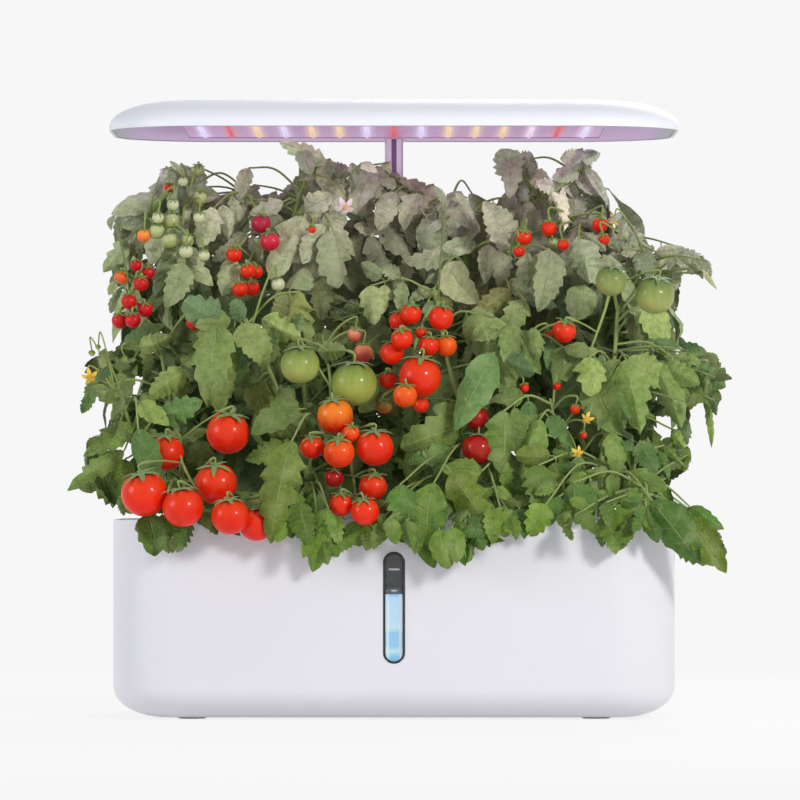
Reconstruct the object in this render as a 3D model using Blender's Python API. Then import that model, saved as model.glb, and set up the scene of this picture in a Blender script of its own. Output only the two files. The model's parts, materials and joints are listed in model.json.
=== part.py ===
"""Countertop hydroponic garden: a water tank with a deck of grow baskets, a pump,
a telescoping pole with a grow lamp, and eight tomato plants in fruit.

Metres, +Z up. The origin is on the floor under the middle of the base, and the
front faces -Y."""
import math

import bmesh
import bpy
from mathutils import Matrix, Vector
from mathutils.bvhtree import BVHTree

# Clearances that fitted pieces share
seat_gap = 0.0003
overrun = 0.002
weld_distance = 0.00001
round_end_rest = 0.0001

# Shading and the steps of curves
smooth_angle = math.radians(38)
round_profile = 0.5
cable_steps = 3
parallel_limit_share = 0.05

# Base
base_width = 0.400
base_depth = 0.250
rim_height = 0.1416
foot_height = 0.0012
foot_radius = 0.010
base_corner = 0.050
edge_run = 0.036
edge_rise = 0.022
tank_wall = 0.003
tank_floor = 0.004
deck_thickness = 0.003
deck_ledge = 0.0015
deck_drop = 0.0005
foot_x_share = 0.36
foot_y_share = 0.29

# Water window in the front wall
window_width = 0.0150
window_base_rise = 0.03925
window_rim_drop = 0.02265
bezel_ring = 0.00145
bezel_proud = 0.0008
lens_recess = 0.0006
lens_thickness = 0.002
chamber_depth = 0.008
chamber_wall = 0.002
float_height = 0.0043
float_travel_share = 0.5291
low_water_depth = 0.0073

# Grow baskets
basket_x_shares = (-0.375, -0.155, 0.155, 0.375)
basket_y_shares = (0.14, -0.22)
basket_radius = 0.0160
basket_taper = 0.0045
basket_depth = 0.052
basket_flange = 0.0035
basket_flange_height = 0.0016
basket_wall = 0.0014
basket_floor_hole = 0.006
plug_height = 0.030

# Fill port and its hinged cap
port_x_share = 0.28
port_setback = 0.031
port_width = 0.036
port_depth = 0.024
port_corner = 0.005
cap_margin = 0.004
cap_thickness = 0.0025
hinge_pin_radius = 0.0012
hinge_barrel_radius = 0.0028
hinge_barrel_length = 0.016
hinge_ear_length = 0.005

# Buttons
panel_setback = 0.069
panel_inset = 0.003
panel_depth = 0.020
panel_height = 0.005
panel_edge = 0.0015
panel_corner = 0.0067
button_pitch = 0.022
button_radius = 0.0050
button_proud = 0.0010
button_travel = 0.0010
button_thickness = 0.0028
plunger_radius = 0.0020

# Control box and its board
box_side_gap = 0.004
box_depth = 0.042
box_height = 0.025
box_wall = 0.002
board_thickness = 0.0016
board_lift = 0.006
switch_size = 0.006
switch_height = 0.0035
chip_width = 0.012
chip_height = 0.002

# Power inlet in the rear wall
inlet_x_share = 0.155
inlet_drop = 0.016
inlet_radius = 0.0045
inlet_bore = 0.0032
inlet_flange = 0.0070
inlet_flange_thickness = 0.0015
inlet_length = 0.016
inlet_bore_depth = 0.010

# Pump
pump_x = 0.0
pump_y = 0.010
pump_width = 0.046
pump_depth = 0.040
pump_height = 0.034
pump_corner = 0.006
rotor_chamber_radius = 0.013
rotor_chamber_depth = 0.016
nozzle_x = 0.009
nozzle_y = -0.002
nozzle_radius = 0.0045
nozzle_bore = 0.0028
nozzle_height = 0.011
cover_thickness = 0.003
cover_slots = 5
cover_slot_width = 0.0026
cover_slot_height = 0.020
cover_slot_pitch = 0.0056
rotor_hub_radius = 0.0042
rotor_radius = 0.0115
rotor_length = 0.010
rotor_blades = 4
rotor_blade_thickness = 0.0018
rotor_shaft_radius = 0.0013
hose_wall = 0.0016
hose_bottom_lift = 0.0012
hose_proud = 0.0015
cable_radius = 0.0020

# Pole
pole_setback = 0.030
pole_width = 0.0135
pole_depth = 0.0110
pole_corner = 0.0012
pole_groove_width = 0.0037
pole_groove_depth = 0.0026
pole_bore_width = 0.008
pole_bore_depth = 0.005
pole_bore_back = 0.0014
pole_slack = 0.00045
pole_wall = 0.0023
pole_outer_top = 0.290
pole_least_overlap = 0.045
socket_wall = 0.003
socket_depth = 0.034
socket_floor = 0.002
socket_flange = 0.003
socket_flange_height = 0.0025
pole_cap_lip = 0.006
pole_cap_thickness = 0.0035
pole_cap_wall = 0.002
lift_travel = 0.080
lead_radius = 0.0017

# Lamp
lamp_width = 0.408
lamp_inset = 0.003
lamp_clear_height = 0.2784
lamp_thickness = 0.0205
lamp_corner = 0.075
lamp_edge_run = 0.045
lamp_edge_rise = 0.0180
lamp_wall = 0.0022
plate_thickness = 0.0024
plate_lift = 0.0006
led_columns = 15
led_pitch_share = 0.0483
led_margin = 0.012
led_front_inset = 0.024
led_pole_gap = 0.021
led_board_thickness = 0.0016
led_strip_width = 0.0034
led_strip_height = 0.0009
lamp_boss_radius = 0.004
lamp_boss_x_share = 0.30
lamp_boss_y_share = 0.22
pole_pocket_depth = 0.0105
pole_pocket_wall = 0.004

# Heights that follow from the sizes above
tank_height = rim_height - foot_height
floor_top = foot_height + tank_floor
deck_top = rim_height - deck_drop
deck_under = deck_top - deck_thickness
lamp_under = rim_height + lamp_clear_height
lamp_top = lamp_under + lamp_thickness
front_y = -base_depth / 2
rear_y = base_depth / 2

# Sizes and places that several pieces share
window_height = rim_height - window_rim_drop - foot_height - window_base_rise
window_middle_height = foot_height + window_base_rise + window_height / 2
glass_width = window_width - 2 * bezel_ring
glass_height = window_height - 2 * bezel_ring
water_low = window_middle_height - glass_height / 2
float_travel = float_travel_share * glass_height
water_level = water_low + low_water_depth + float_travel
inlet_x = inlet_x_share * base_width
inlet_z = rim_height - inlet_drop
port_x = port_x_share * base_width
port_y = rear_y - port_setback
panel_y = rear_y - panel_setback
pole_y = rear_y - pole_setback
box_width = 2 * (min(map(abs, basket_x_shares)) * base_width - basket_radius - box_side_gap)
panel_width = box_width - 2 * panel_inset
lamp_depth = base_depth - 2 * lamp_inset
led_pitch = led_pitch_share * lamp_width
led_front_y = led_front_inset - lamp_depth / 2
led_back_y = pole_y - led_pole_gap
outer_width = pole_width + 2 * (pole_slack + pole_wall)
outer_depth = pole_depth + 2 * (pole_slack + pole_wall)
pole_socket_width = outer_width + 2 * seat_gap
pole_socket_depth = outer_depth + 2 * seat_gap
socket_half_width = pole_socket_width / 2 + socket_wall
socket_half_depth = pole_socket_depth / 2 + socket_wall
pocket_top = lamp_under + plate_lift + plate_thickness + pole_pocket_depth
hinge_y = port_y + port_depth / 2 + cap_margin + hinge_barrel_radius
hinge_height = hinge_barrel_radius + seat_gap
hose_bore = nozzle_radius + seat_gap
hose_radius = hose_bore + hose_wall
hinge_pin_length = hinge_barrel_length + 2 * (seat_gap + hinge_ear_length)
board_low = deck_under - seat_gap - box_height + box_wall + board_lift
switch_top = board_low + board_thickness + switch_height

# Picture grid: where columns and rows of the reference picture lie on the object
picture_middle_column = 394.0
picture_base_columns = 562.0
picture_rim_row = 518.6
picture_lamp_row = 127.5
eye_distance = 5.0
eye_height = 0.204
face_y_share = -0.32

# Plants
stem_radius = 0.0024
branch_radius = 0.0016
petiole_radius = 0.0008
blade_half_thickness = 0.0005
leaf_margin = 0.0006
leaf_tilt_share = 0.22
petiole_rise_share = 0.18
stem_step = 0.008
pedicel_radius = 0.0008
rachis_radius = 0.0012
lamp_leaf_gap = 0.003
rim_leaf_gap = 0.0025
deck_piece_gap = 0.009
wall_leaf_gap = 0.0015
depth_step_shares = (0, 0.05, -0.05, 0.1, -0.1, 0.16, -0.16, 0.24, -0.24, 0.32, -0.32)

# Shapes of a leaf blade: share of its length, of its width, and bow off its chord
blade_shares = ((0.30, 1.00, 0.05), (0.66, 0.80, 0.04))
leaf_fold_share = 0.10
leaf_turn_shares = ((0.25, 0.10), (-0.30, 0.05), (0.10, 0.25), (-0.15, -0.10), (0.40, -0.05),
                    (-0.45, 0.15), (0.05, -0.15))

# Which way the strips of stems, truss stalks and fruit stalks face
stem_facing_shares = (0.3, -1, 0.1)
rachis_facing_shares = (0.2, -1, 0.3)
pedicel_facing_shares = (0.1, -1, 0.2)

# How leaves and fruit are set on the stems
stem_taper_share = 0.45
knot_share = 0.55
shortest_petiole = 0.008
longest_petiole = 0.115
highest_root = 0.030
root_clearance = 0.004
stems_tried = 9
steepest_branching_share = 0.80
hang_depth_share = -1.0
rachis_marks = 4
pedicel_depth_share = 0.55
fruit_press_share = 1.02

# Stems of each plant, as (column, row, depth share) along each branch. The first
# branch of a plant grows from its basket.
stem_picks = (
    (((178, 440, 0.25), (182, 350, 0.20), (181, 260, 0.15), (192, 182, 0.15)),
     ((182, 350, 0.20), (150, 322, -0.10), (126, 292, -0.20)),
     ((181, 260, 0.15), (160, 228, 0.00), (138, 207, 0.05)),
     ((181, 330, 0.20), (172, 322, 0.62))),
    (((308, 440, 0.25), (300, 350, 0.20), (286, 260, 0.15), (302, 185, 0.12), (320, 163, 0.12)),
     ((286, 260, 0.15), (262, 218, 0.05), (246, 190, 0.10)),
     ((292, 225, 0.14), (335, 205, 0.20), (358, 172, 0.25)),
     ((300, 340, 0.20), (292, 325, 0.66))),
    (((480, 440, 0.25), (478, 350, 0.20), (466, 260, 0.15), (448, 197, 0.20)),
     ((470, 285, 0.17), (430, 240, 0.20), (412, 188, 0.30)),
     ((478, 340, 0.20), (500, 290, 0.10), (508, 256, 0.05)),
     ((478, 350, 0.20), (490, 330, 0.66))),
    (((604, 440, 0.25), (596, 350, 0.20), (581, 240, 0.15), (577, 168, 0.15)),
     ((583, 250, 0.15), (548, 205, 0.20), (520, 172, 0.20)),
     ((596, 350, 0.20), (630, 290, 0.00), (652, 252, -0.05)),
     ((598, 350, 0.20), (610, 335, 0.62))),
    (((182, 470, -0.45), (175, 420, -0.45), (165, 372, -0.40), (160, 342, -0.30)),
     ((175, 420, -0.45), (140, 402, -0.50), (108, 388, -0.50)),
     ((182, 470, -0.45), (146, 446, -0.62), (124, 430, -0.62))),
    (((306, 470, -0.45), (290, 420, -0.45), (268, 366, -0.40), (246, 318, -0.35)),
     ((304, 466, -0.45), (328, 432, -0.50), (330, 380, -0.45), (322, 335, -0.35))),
    (((475, 470, -0.45), (462, 410, -0.45), (448, 360, -0.40), (436, 290, -0.25)),
     ((473, 462, -0.45), (500, 420, -0.62), (518, 370, -0.60), (528, 332, -0.50))),
    (((600, 470, -0.45), (608, 420, -0.40), (614, 360, -0.40), (618, 305, -0.35)),
     ((609, 415, -0.40), (650, 385, -0.40), (684, 364, -0.40)),
     ((600, 468, -0.45), (636, 482, -0.70), (656, 496, -0.90)),
     ((600, 468, -0.45), (562, 442, -0.60), (550, 398, -0.60))),
)

# Leaves: base column and row, tip column and row, width in columns, depth share
leaf_picks = (
    (326, 162, 281, 140, 24, 0.10), (194, 178, 170, 160, 12, 0.10),
    (158, 196, 112, 211, 24, 0.00), (155, 216, 121, 225, 18, 0.05),
    (127, 238, 105, 271, 22, -0.10), (158, 232, 150, 262, 24, -0.10),
    (214, 206, 200, 245, 30, -0.10), (249, 166, 240, 198, 18, 0.05),
    (246, 204, 222, 222, 22, 0.10), (283, 200, 250, 212, 20, 0.05),
    (303, 215, 270, 277, 44, -0.15), (333, 228, 340, 286, 40, -0.20),
    (300, 290, 281, 350, 40, -0.35), (184, 262, 166, 306, 30, -0.25),
    (172, 250, 153, 280, 16, -0.20), (232, 256, 222, 294, 26, -0.25),
    (200, 264, 192, 288, 14, -0.15), (371, 284, 374, 323, 28, -0.20),
    (355, 163, 362, 199, 26, 0.15), (390, 160, 372, 178, 16, 0.20),
    (350, 188, 330, 215, 26, 0.10), (395, 190, 380, 228, 26, 0.10),
    (512, 174, 500, 148, 36, 0.10), (520, 160, 532, 152, 20, 0.15),
    (532, 172, 550, 184, 22, 0.20), (568, 170, 552, 204, 22, 0.10),
    (580, 158, 560, 157, 22, 0.10), (582, 157, 600, 152, 18, 0.10),
    (586, 166, 610, 204, 12, 0.05), (572, 208, 556, 216, 16, 0.10),
    (514, 246, 485, 200, 36, -0.05), (530, 200, 522, 226, 18, 0.20),
    (550, 248, 541, 310, 36, -0.32), (579, 238, 589, 282, 36, -0.30),
    (608, 244, 645, 235, 22, -0.10), (638, 252, 652, 276, 26, -0.20),
    (656, 250, 684, 246, 12, -0.15), (682, 246, 717, 288, 11, -0.15),
    (446, 262, 478, 302, 36, -0.10), (450, 195, 460, 236, 34, 0.15),
    (420, 192, 404, 228, 28, 0.15), (424, 216, 434, 256, 26, 0.05),
    (476, 242, 434, 252, 20, 0.10), (510, 288, 472, 322, 30, -0.20),
    (526, 300, 502, 334, 28, -0.30), (584, 284, 576, 318, 34, -0.25),
    (646, 306, 668, 340, 34, -0.35), (676, 262, 668, 296, 22, -0.10),
    (218, 322, 209, 405, 44, -0.60), (241, 323, 268, 367, 36, -0.55),
    (262, 318, 300, 336, 30, -0.45), (160, 416, 201, 399, 32, -0.70),
    (186, 370, 150, 396, 28, -0.60), (138, 347, 172, 336, 22, -0.40),
    (122, 346, 164, 322, 20, -0.30), (121, 396, 90, 388, 20, -0.50),
    (90, 396, 82, 412, 14, -0.50), (134, 396, 122, 410, 16, -0.55),
    (134, 424, 84, 454, 26, -0.65), (124, 450, 69, 489, 24, -0.70),
    (125, 458, 119, 498, 26, -0.60), (138, 428, 160, 487, 32, -1.02),
    (148, 513, 155, 556, 34, -1.06), (162, 514, 170, 553, 22, -1.12),
    (206, 505, 200, 531, 24, -1.05), (292, 440, 271, 544, 44, -1.10),
    (284, 444, 246, 459, 26, -0.80), (300, 415, 268, 434, 24, -0.65),
    (328, 508, 309, 571, 36, -1.16), (318, 520, 294, 531, 18, -1.12),
    (342, 514, 334, 552, 28, -1.10), (362, 520, 358, 546, 30, -1.16),
    (384, 516, 384, 541, 18, -1.08), (322, 492, 304, 512, 26, -0.90),
    (318, 350, 346, 349, 22, -0.55), (282, 388, 296, 413, 22, -0.60),
    (258, 380, 266, 414, 36, -0.45), (232, 358, 222, 396, 30, -0.40),
    (196, 440, 206, 470, 26, -0.60), (292, 410, 282, 436, 34, -0.60),
    (494, 352, 455, 429, 38, -0.80), (496, 352, 506, 408, 28, -0.75),
    (476, 312, 478, 356, 36, -0.45), (462, 424, 402, 448, 40, -0.75),
    (482, 470, 441, 469, 24, -0.90), (434, 482, 426, 565, 42, -1.10),
    (452, 488, 460, 564, 44, -1.18), (400, 484, 408, 532, 34, -1.05),
    (504, 410, 504, 472, 40, -0.80), (540, 418, 522, 482, 32, -0.70),
    (539, 464, 541, 513, 38, -0.90), (589, 356, 591, 395, 36, -0.70),
    (594, 376, 621, 434, 42, -0.62), (626, 358, 641, 429, 42, -0.62),
    (656, 360, 680, 427, 30, -0.50), (680, 350, 707, 352, 20, -0.35),
    (686, 368, 725, 386, 28, -0.42), (688, 376, 709, 404, 9, -0.45),
    (708, 400, 712, 446, 9, -0.45), (672, 428, 684, 447, 14, -0.50),
    (640, 440, 656, 471, 26, -0.70), (664, 444, 688, 469, 7, -0.60),
    (611, 432, 620, 474, 26, -0.70), (574, 482, 580, 522, 40, -0.95),
    (630, 508, 604, 530, 26, -1.05), (648, 496, 618, 526, 34, -0.98),
    (652, 500, 700, 564, 42, -1.12), (682, 514, 728, 572, 34, -1.06),
    (690, 506, 724, 529, 18, -1.00), (650, 486, 672, 508, 24, -0.85),
    (562, 508, 582, 546, 26, -1.10), (592, 514, 610, 554, 26, -1.14),
    (612, 520, 625, 544, 20, -1.18), (646, 520, 658, 541, 22, -1.20),
    (500, 506, 506, 537, 28, -1.08), (546, 504, 530, 536, 30, -1.12),
    (536, 328, 528, 368, 30, -0.75), (512, 322, 515, 378, 26, -0.68),
    (562, 345, 566, 380, 28, -0.60), (428, 300, 446, 330, 26, -0.35),
)

# Fruit trusses: the plant that bears it, its stalk as (column, row, depth share),
# and its fruit as (column, row, radius in columns, depth share)
truss_picks = (
    ("truss_front_left", 4,
     ((178, 432, -0.66), (182, 462, -0.84), (206, 497, -0.92), (240, 505, -0.96)),
     ((228, 432, 21.5, -0.86), (145, 493, 23, -1.02), (183, 507, 20, -1.22),
      (216, 483, 21, -1.02), (230, 516, 18.5, -1.26), (256, 524, 17, -1.24),
      (166, 452, 18, -0.76))),
    ("truss_centre_low", 5,
     ((322, 416, -0.62), (346, 436, -0.78), (352, 470, -0.82), (356, 496, -0.86)),
     ((312, 446, 12, -0.94), (339, 452, 15.5, -1.04), (375, 447, 18.5, -1.00),
      (335, 415, 18, -0.90), (351, 433, 9, -0.90), (334, 477, 9.5, -0.88),
      (373, 486, 14, -0.98), (341, 504, 12, -1.04), (365, 511, 14, -1.16))),
    ("truss_centre_high", 6,
     ((432, 306, -0.44), (420, 328, -0.58), (412, 356, -0.62), (402, 384, -0.66)),
     ((411, 313, 10.5, -0.72), (399, 320, 10, -0.66), (441, 317, 12.5, -0.70),
      (421, 332, 6, -0.70), (392, 352, 12, -0.70), (402, 338, 11, -0.76),
      (429, 345, 10, -0.78), (446, 345, 11, -0.74), (420, 376, 21, -0.84),
      (405, 395, 12, -0.94), (388, 379, 9, -0.68), (384, 405, 8, -0.72),
      (421, 404, 8, -0.76))),
    ("truss_green_centre", 5,
     ((316, 342, -0.50), (328, 350, -0.58)),
     ((300, 364, 19.5, -0.78), (354, 383, 23, -0.76))),
    ("truss_dark_red", 6,
     ((472, 392, -0.60), (478, 420, -0.62)),
     ((476, 417, 12, -0.80), (478, 448, 16, -0.82))),
    ("truss_left_crimson", 0,
     ((142, 262, -0.12), (136, 300, -0.22)),
     ((121, 276, 7, -0.30), (141, 282, 8, -0.34), (148, 271, 7, -0.26),
      (136, 264, 6, -0.30), (129, 300, 8, -0.36), (145, 308, 8, -0.34),
      (120, 319, 8.5, -0.32), (133, 319, 8, -0.40))),
    ("truss_left_cherry", 1,
     ((262, 236, -0.06), (247, 262, -0.10), (236, 282, -0.12)),
     ((234, 253, 8, -0.26), (248, 269, 8, -0.30), (256, 270, 7, -0.20),
      (240, 288, 8, -0.32), (252, 287, 8, -0.24), (261, 222, 10, -0.16),
      (270, 240, 10, -0.22))),
    ("truss_unripe", 0,
     ((184, 206, -0.02), (182, 228, -0.06)),
     ((171, 219, 8, -0.20), (157, 230, 8, -0.22), (170, 239, 8, -0.26),
      (187, 239, 7, -0.22), (199, 196, 8, -0.04), (198, 169, 7, 0.02))),
    ("truss_right_top", 3,
     ((568, 216, 0.02), (548, 226, -0.04), (530, 232, -0.04)),
     ((600, 221, 8, -0.12), (549, 227, 8, -0.14), (553, 242, 6, -0.16),
      (523, 235, 9, -0.10))),
    ("truss_right", 7,
     ((612, 286, -0.50), (604, 312, -0.54), (590, 350, -0.56)),
     ((611, 280, 15.5, -0.74), (655, 294, 19.5, -0.70), (564, 330, 12, -0.66))),
)
large_fruit_columns = 12.8

# Leaves that close the canopy at its sides and back, set around an oval in rows
ring_row_shares = ((0.20, 0.90), (0.42, 1.00), (0.64, 0.96), (0.86, 0.80))
ring_leaves = 11
ring_start_angle = math.radians(-28)
ring_end_angle = math.radians(208)
ring_leaf_length = 0.050
ring_leaf_width = 0.032
ring_leaf_reach = 0.020
ring_stagger_share = 0.5
ring_width_share = 0.49
ring_depth_share = 0.40
ring_middle_share = 0.08
ring_pull_shares = (1.0, 0.9, 0.8)

# Long leaves that hang over the rear wall
rear_hang_x_shares = (-0.40, -0.24, -0.10, 0.12, 0.26, 0.40)
rear_hang_base_lift = 0.035
rear_hang_drop = 0.060
rear_hang_reach = 0.034
rear_hang_width = 0.030


def clear_scene():
    for item in list(bpy.data.objects):
        bpy.data.objects.remove(item)


def new_collection(name):
    collection = bpy.data.collections.new(name)
    bpy.context.scene.collection.children.link(collection)
    return collection


def new_material(name, color, roughness, metallic=0.0, alpha=1.0):
    material = bpy.data.materials.new(name)
    material.use_nodes = True
    shader = material.node_tree.nodes["Principled BSDF"]
    shader.inputs["Base Color"].default_value = (*color, 1.0)
    shader.inputs["Roughness"].default_value = roughness
    shader.inputs["Metallic"].default_value = metallic
    shader.inputs["Alpha"].default_value = alpha
    return material


def make_object(name, bm, collection, material=None):
    mesh = bpy.data.meshes.new(name)
    bm.to_mesh(mesh)
    bm.free()
    mesh.shade_smooth()
    mesh.set_sharp_from_angle(angle=smooth_angle)
    item = bpy.data.objects.new(name, mesh)
    if material:
        mesh.materials.append(material)
    collection.objects.link(item)
    return item


def hide_cutter(item):
    item.hide_render = True
    item.display_type = "WIRE"


def boolean(target, other, operation):
    modifier = target.modifiers.new(operation.title(), "BOOLEAN")
    modifier.operation = operation
    modifier.solver = "EXACT"
    modifier.object = other
    hide_cutter(other)


def fuse_group(target, shapes, cutters):
    """Fuses many crossing shapes into one body. The exact solver leaves open edges
    where thin stalks meet, so this union takes the manifold one."""
    group = bpy.data.collections.new(f"{target.name}_pieces")
    cutters.children.link(group)
    for number, bm in enumerate(shapes):
        hide_cutter(make_object(f"{target.name}_piece_{number}", bm, group))
    modifier = target.modifiers.new("Union", "BOOLEAN")
    modifier.operation = "UNION"
    modifier.solver = "MANIFOLD"
    modifier.operand_type = "COLLECTION"
    modifier.collection = group


def cut(target, *cutters):
    for cutter in cutters:
        boolean(target, cutter, "DIFFERENCE")


def fuse(target, *others):
    for other in others:
        boolean(target, other, "UNION")


def set_origin(item, point):
    point = Vector(point)
    item.data.transform(Matrix.Translation(-point))
    item.location = point


def block_mesh(size, corner=0.0, run=0.0, rise=0.0, low=True, corner_steps=5, edge_steps=4):
    """A block around the origin with round upright corners, and an elliptical
    edge around its bottom or top that runs in by run and rises by rise."""
    bm = bmesh.new()
    bmesh.ops.create_cube(bm, size=1.0)
    stretch = run / rise if run else 1.0
    bmesh.ops.scale(bm, vec=(size[0], size[1], size[2] * stretch), verts=bm.verts)
    if corner:
        upright = [e for e in bm.edges if abs(e.verts[0].co.z - e.verts[1].co.z) > weld_distance]
        bmesh.ops.bevel(bm, geom=upright, offset=corner, segments=corner_steps, profile=round_profile,
                        affect="EDGES", clamp_overlap=True)
    if run:
        side = -1 if low else 1
        level = side * size[2] * stretch / 2
        rim = [e for e in bm.edges if all(abs(v.co.z - level) < weld_distance for v in e.verts)]
        bmesh.ops.bevel(bm, geom=rim, offset=run, segments=edge_steps, profile=round_profile,
                        affect="EDGES", clamp_overlap=True)
    bmesh.ops.scale(bm, vec=(1, 1, 1 / stretch), verts=bm.verts)
    return bm


def moved(bm, place):
    bmesh.ops.translate(bm, vec=Vector(place), verts=bm.verts)
    return bm


def turned_to_y(bm):
    bmesh.ops.rotate(bm, cent=(0, 0, 0), matrix=Matrix.Rotation(math.pi / 2, 3, "X"), verts=bm.verts)
    return bm


def turned_to_x(bm):
    bmesh.ops.rotate(bm, cent=(0, 0, 0), matrix=Matrix.Rotation(math.pi / 2, 3, "Y"), verts=bm.verts)
    return bm


def cylinder_mesh(radius, length, sides=20, top_radius=None):
    bm = bmesh.new()
    bmesh.ops.create_cone(bm, cap_ends=True, segments=sides, radius1=radius,
                          radius2=radius if top_radius is None else top_radius, depth=length)
    return bm


def joined(meshes):
    """One mesh data block of several closed shapes that don't touch."""
    whole = bmesh.new()
    for bm in meshes:
        mesh = bpy.data.meshes.new("shape")
        bm.to_mesh(mesh)
        bm.free()
        whole.from_mesh(mesh)
        bpy.data.meshes.remove(mesh)
    return whole


def span_block(low, high, **shape):
    """A block between two corners."""
    low, high = Vector(low), Vector(high)
    return moved(block_mesh(high - low, **shape), (low + high) / 2)


def upright_span(radius, place, bottom, top, sides=20):
    return moved(cylinder_mesh(radius, top - bottom, sides), (place[0], place[1], (bottom + top) / 2))


def tube_object(name, points, radius, collection, material, resolution=2):
    """A round cable along a smooth run through points."""
    curve = bpy.data.curves.new(name, "CURVE")
    curve.dimensions = "3D"
    curve.bevel_depth = radius
    curve.bevel_resolution = resolution
    curve.use_fill_caps = True
    spline = curve.splines.new("POLY")
    run = smooth_run([Vector(p) for p in points], cable_steps)
    spline.points.add(len(run) - 1)
    for knot, point in zip(spline.points, run):
        knot.co = (*point, 1.0)
    guide = bpy.data.objects.new(name, curve)
    bpy.context.scene.collection.objects.link(guide)
    graph = bpy.context.evaluated_depsgraph_get()
    mesh = bpy.data.meshes.new_from_object(guide.evaluated_get(graph))
    bpy.data.objects.remove(guide)
    bm = bmesh.new()
    bm.from_mesh(mesh)
    bmesh.ops.remove_doubles(bm, verts=bm.verts, dist=weld_distance)
    bpy.data.meshes.remove(mesh)
    return make_object(name, bm, collection, material)


def smooth_run(points, steps):
    """Points along a Catmull-Rom curve through the given ones."""
    ends = [points[0] * 2 - points[1], *points, points[-1] * 2 - points[-2]]
    run = []
    for before, start, end, after in zip(ends, ends[1:], ends[2:], ends[3:]):
        for step in range(steps):
            t = step / steps
            run.append((start * 2 + (end - before) * t
                        + (before * 2 - start * 5 + end * 4 - after) * t * t
                        + (start * 3 - before - end * 3 + after) * t ** 3) / 2)
    return [*run, points[-1]]


def build_tank(parts, cutters, white):
    size = (base_width, base_depth, tank_height)
    middle = (foot_height + rim_height) / 2
    tank = make_object("tank", moved(block_mesh(size, base_corner, edge_run, edge_rise), (0, 0, middle)),
                       parts, white)
    inner = (base_width - 2 * tank_wall, base_depth - 2 * tank_wall, rim_height - floor_top + overrun)
    hollow = block_mesh(inner, base_corner - tank_wall, edge_run - tank_wall, edge_rise - tank_floor)
    hollow = make_object("tank_hollow", moved(hollow, (0, 0, floor_top + inner[2] / 2)), cutters)
    seat_z = deck_under - seat_gap
    seat = (base_width - 2 * deck_ledge, base_depth - 2 * deck_ledge, rim_height + overrun - seat_z)
    seat = make_object("deck_seat", moved(block_mesh(seat, base_corner - deck_ledge),
                                          (0, 0, seat_z + seat[2] / 2)), cutters)
    slot = block_mesh((window_width + 2 * seat_gap, window_height + 2 * seat_gap, tank_wall + 2 * overrun),
                      window_width / 2 + seat_gap - round_end_rest, corner_steps=4)
    slot = make_object("window_slot", moved(turned_to_y(slot), (0, front_y + tank_wall / 2,
                                                               window_middle_height)), cutters)
    inlet = turned_to_y(cylinder_mesh(inlet_radius + seat_gap, tank_wall + 2 * overrun, 16))
    inlet = make_object("inlet_hole", moved(inlet, (inlet_x, rear_y - tank_wall / 2, inlet_z)), cutters)
    cut(tank, hollow, seat, slot, inlet)


def build_feet(parts, rubber):
    spots = [(x * base_width, y * base_depth) for y in (-foot_y_share, foot_y_share)
             for x in (-foot_x_share, foot_x_share)]
    for number, spot in enumerate(spots, 1):
        foot = upright_span(foot_radius, spot, 0, foot_height - seat_gap, 16)
        make_object(f"foot_{number}", foot, parts, rubber)


def build_window(parts, cutters, black, clear, water_blue, grey):
    middle = window_middle_height

    def stadium(width, height, front, back):
        block = block_mesh((width, height, back - front), width / 2 - round_end_rest, corner_steps=4)
        return moved(turned_to_y(block), (0, (front + back) / 2, middle))

    bezel_front = front_y - bezel_proud
    wall_back = front_y + tank_wall
    bezel = make_object("window_bezel", stadium(window_width, window_height, bezel_front, wall_back),
                        parts, black)
    cut(bezel, make_object("bezel_hole", stadium(glass_width, glass_height, bezel_front - overrun,
                                                 wall_back + overrun), cutters))
    lens_front = bezel_front + lens_recess
    make_object("window_lens", stadium(glass_width - 2 * seat_gap, glass_height - 2 * seat_gap,
                                       lens_front, lens_front + lens_thickness), parts, clear)
    well_front = wall_back + seat_gap
    well_back = well_front + chamber_depth
    half_width = glass_width / 2 + seat_gap
    half_height = glass_height / 2 + seat_gap
    chamber = span_block((-half_width - chamber_wall, well_front, middle - half_height - chamber_wall),
                         (half_width + chamber_wall, well_back + chamber_wall,
                          middle + half_height + chamber_wall))
    chamber = make_object("window_chamber", chamber, parts, black)
    cut(chamber, make_object("chamber_hollow",
                             span_block((-half_width, well_front - overrun, middle - half_height),
                                        (half_width, well_back, middle + half_height)), cutters))
    make_object("window_water", span_block((-half_width + seat_gap, well_front, water_low),
                                           (half_width - seat_gap, well_back - seat_gap, water_level)),
                parts, water_blue)
    float_low = water_level + seat_gap
    dome = block_mesh((glass_width - 2 * seat_gap, chamber_depth - 4 * seat_gap, float_height),
                      run=float_height / 2, rise=float_height / 2, low=False, edge_steps=2)
    place = Vector((0, (well_front + well_back) / 2, float_low + float_height / 2))
    set_origin(make_object("level_float", moved(dome, place), parts, grey), place)


def basket_spots():
    return [(x * base_width, y * base_depth) for y in basket_y_shares for x in basket_x_shares]


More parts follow.
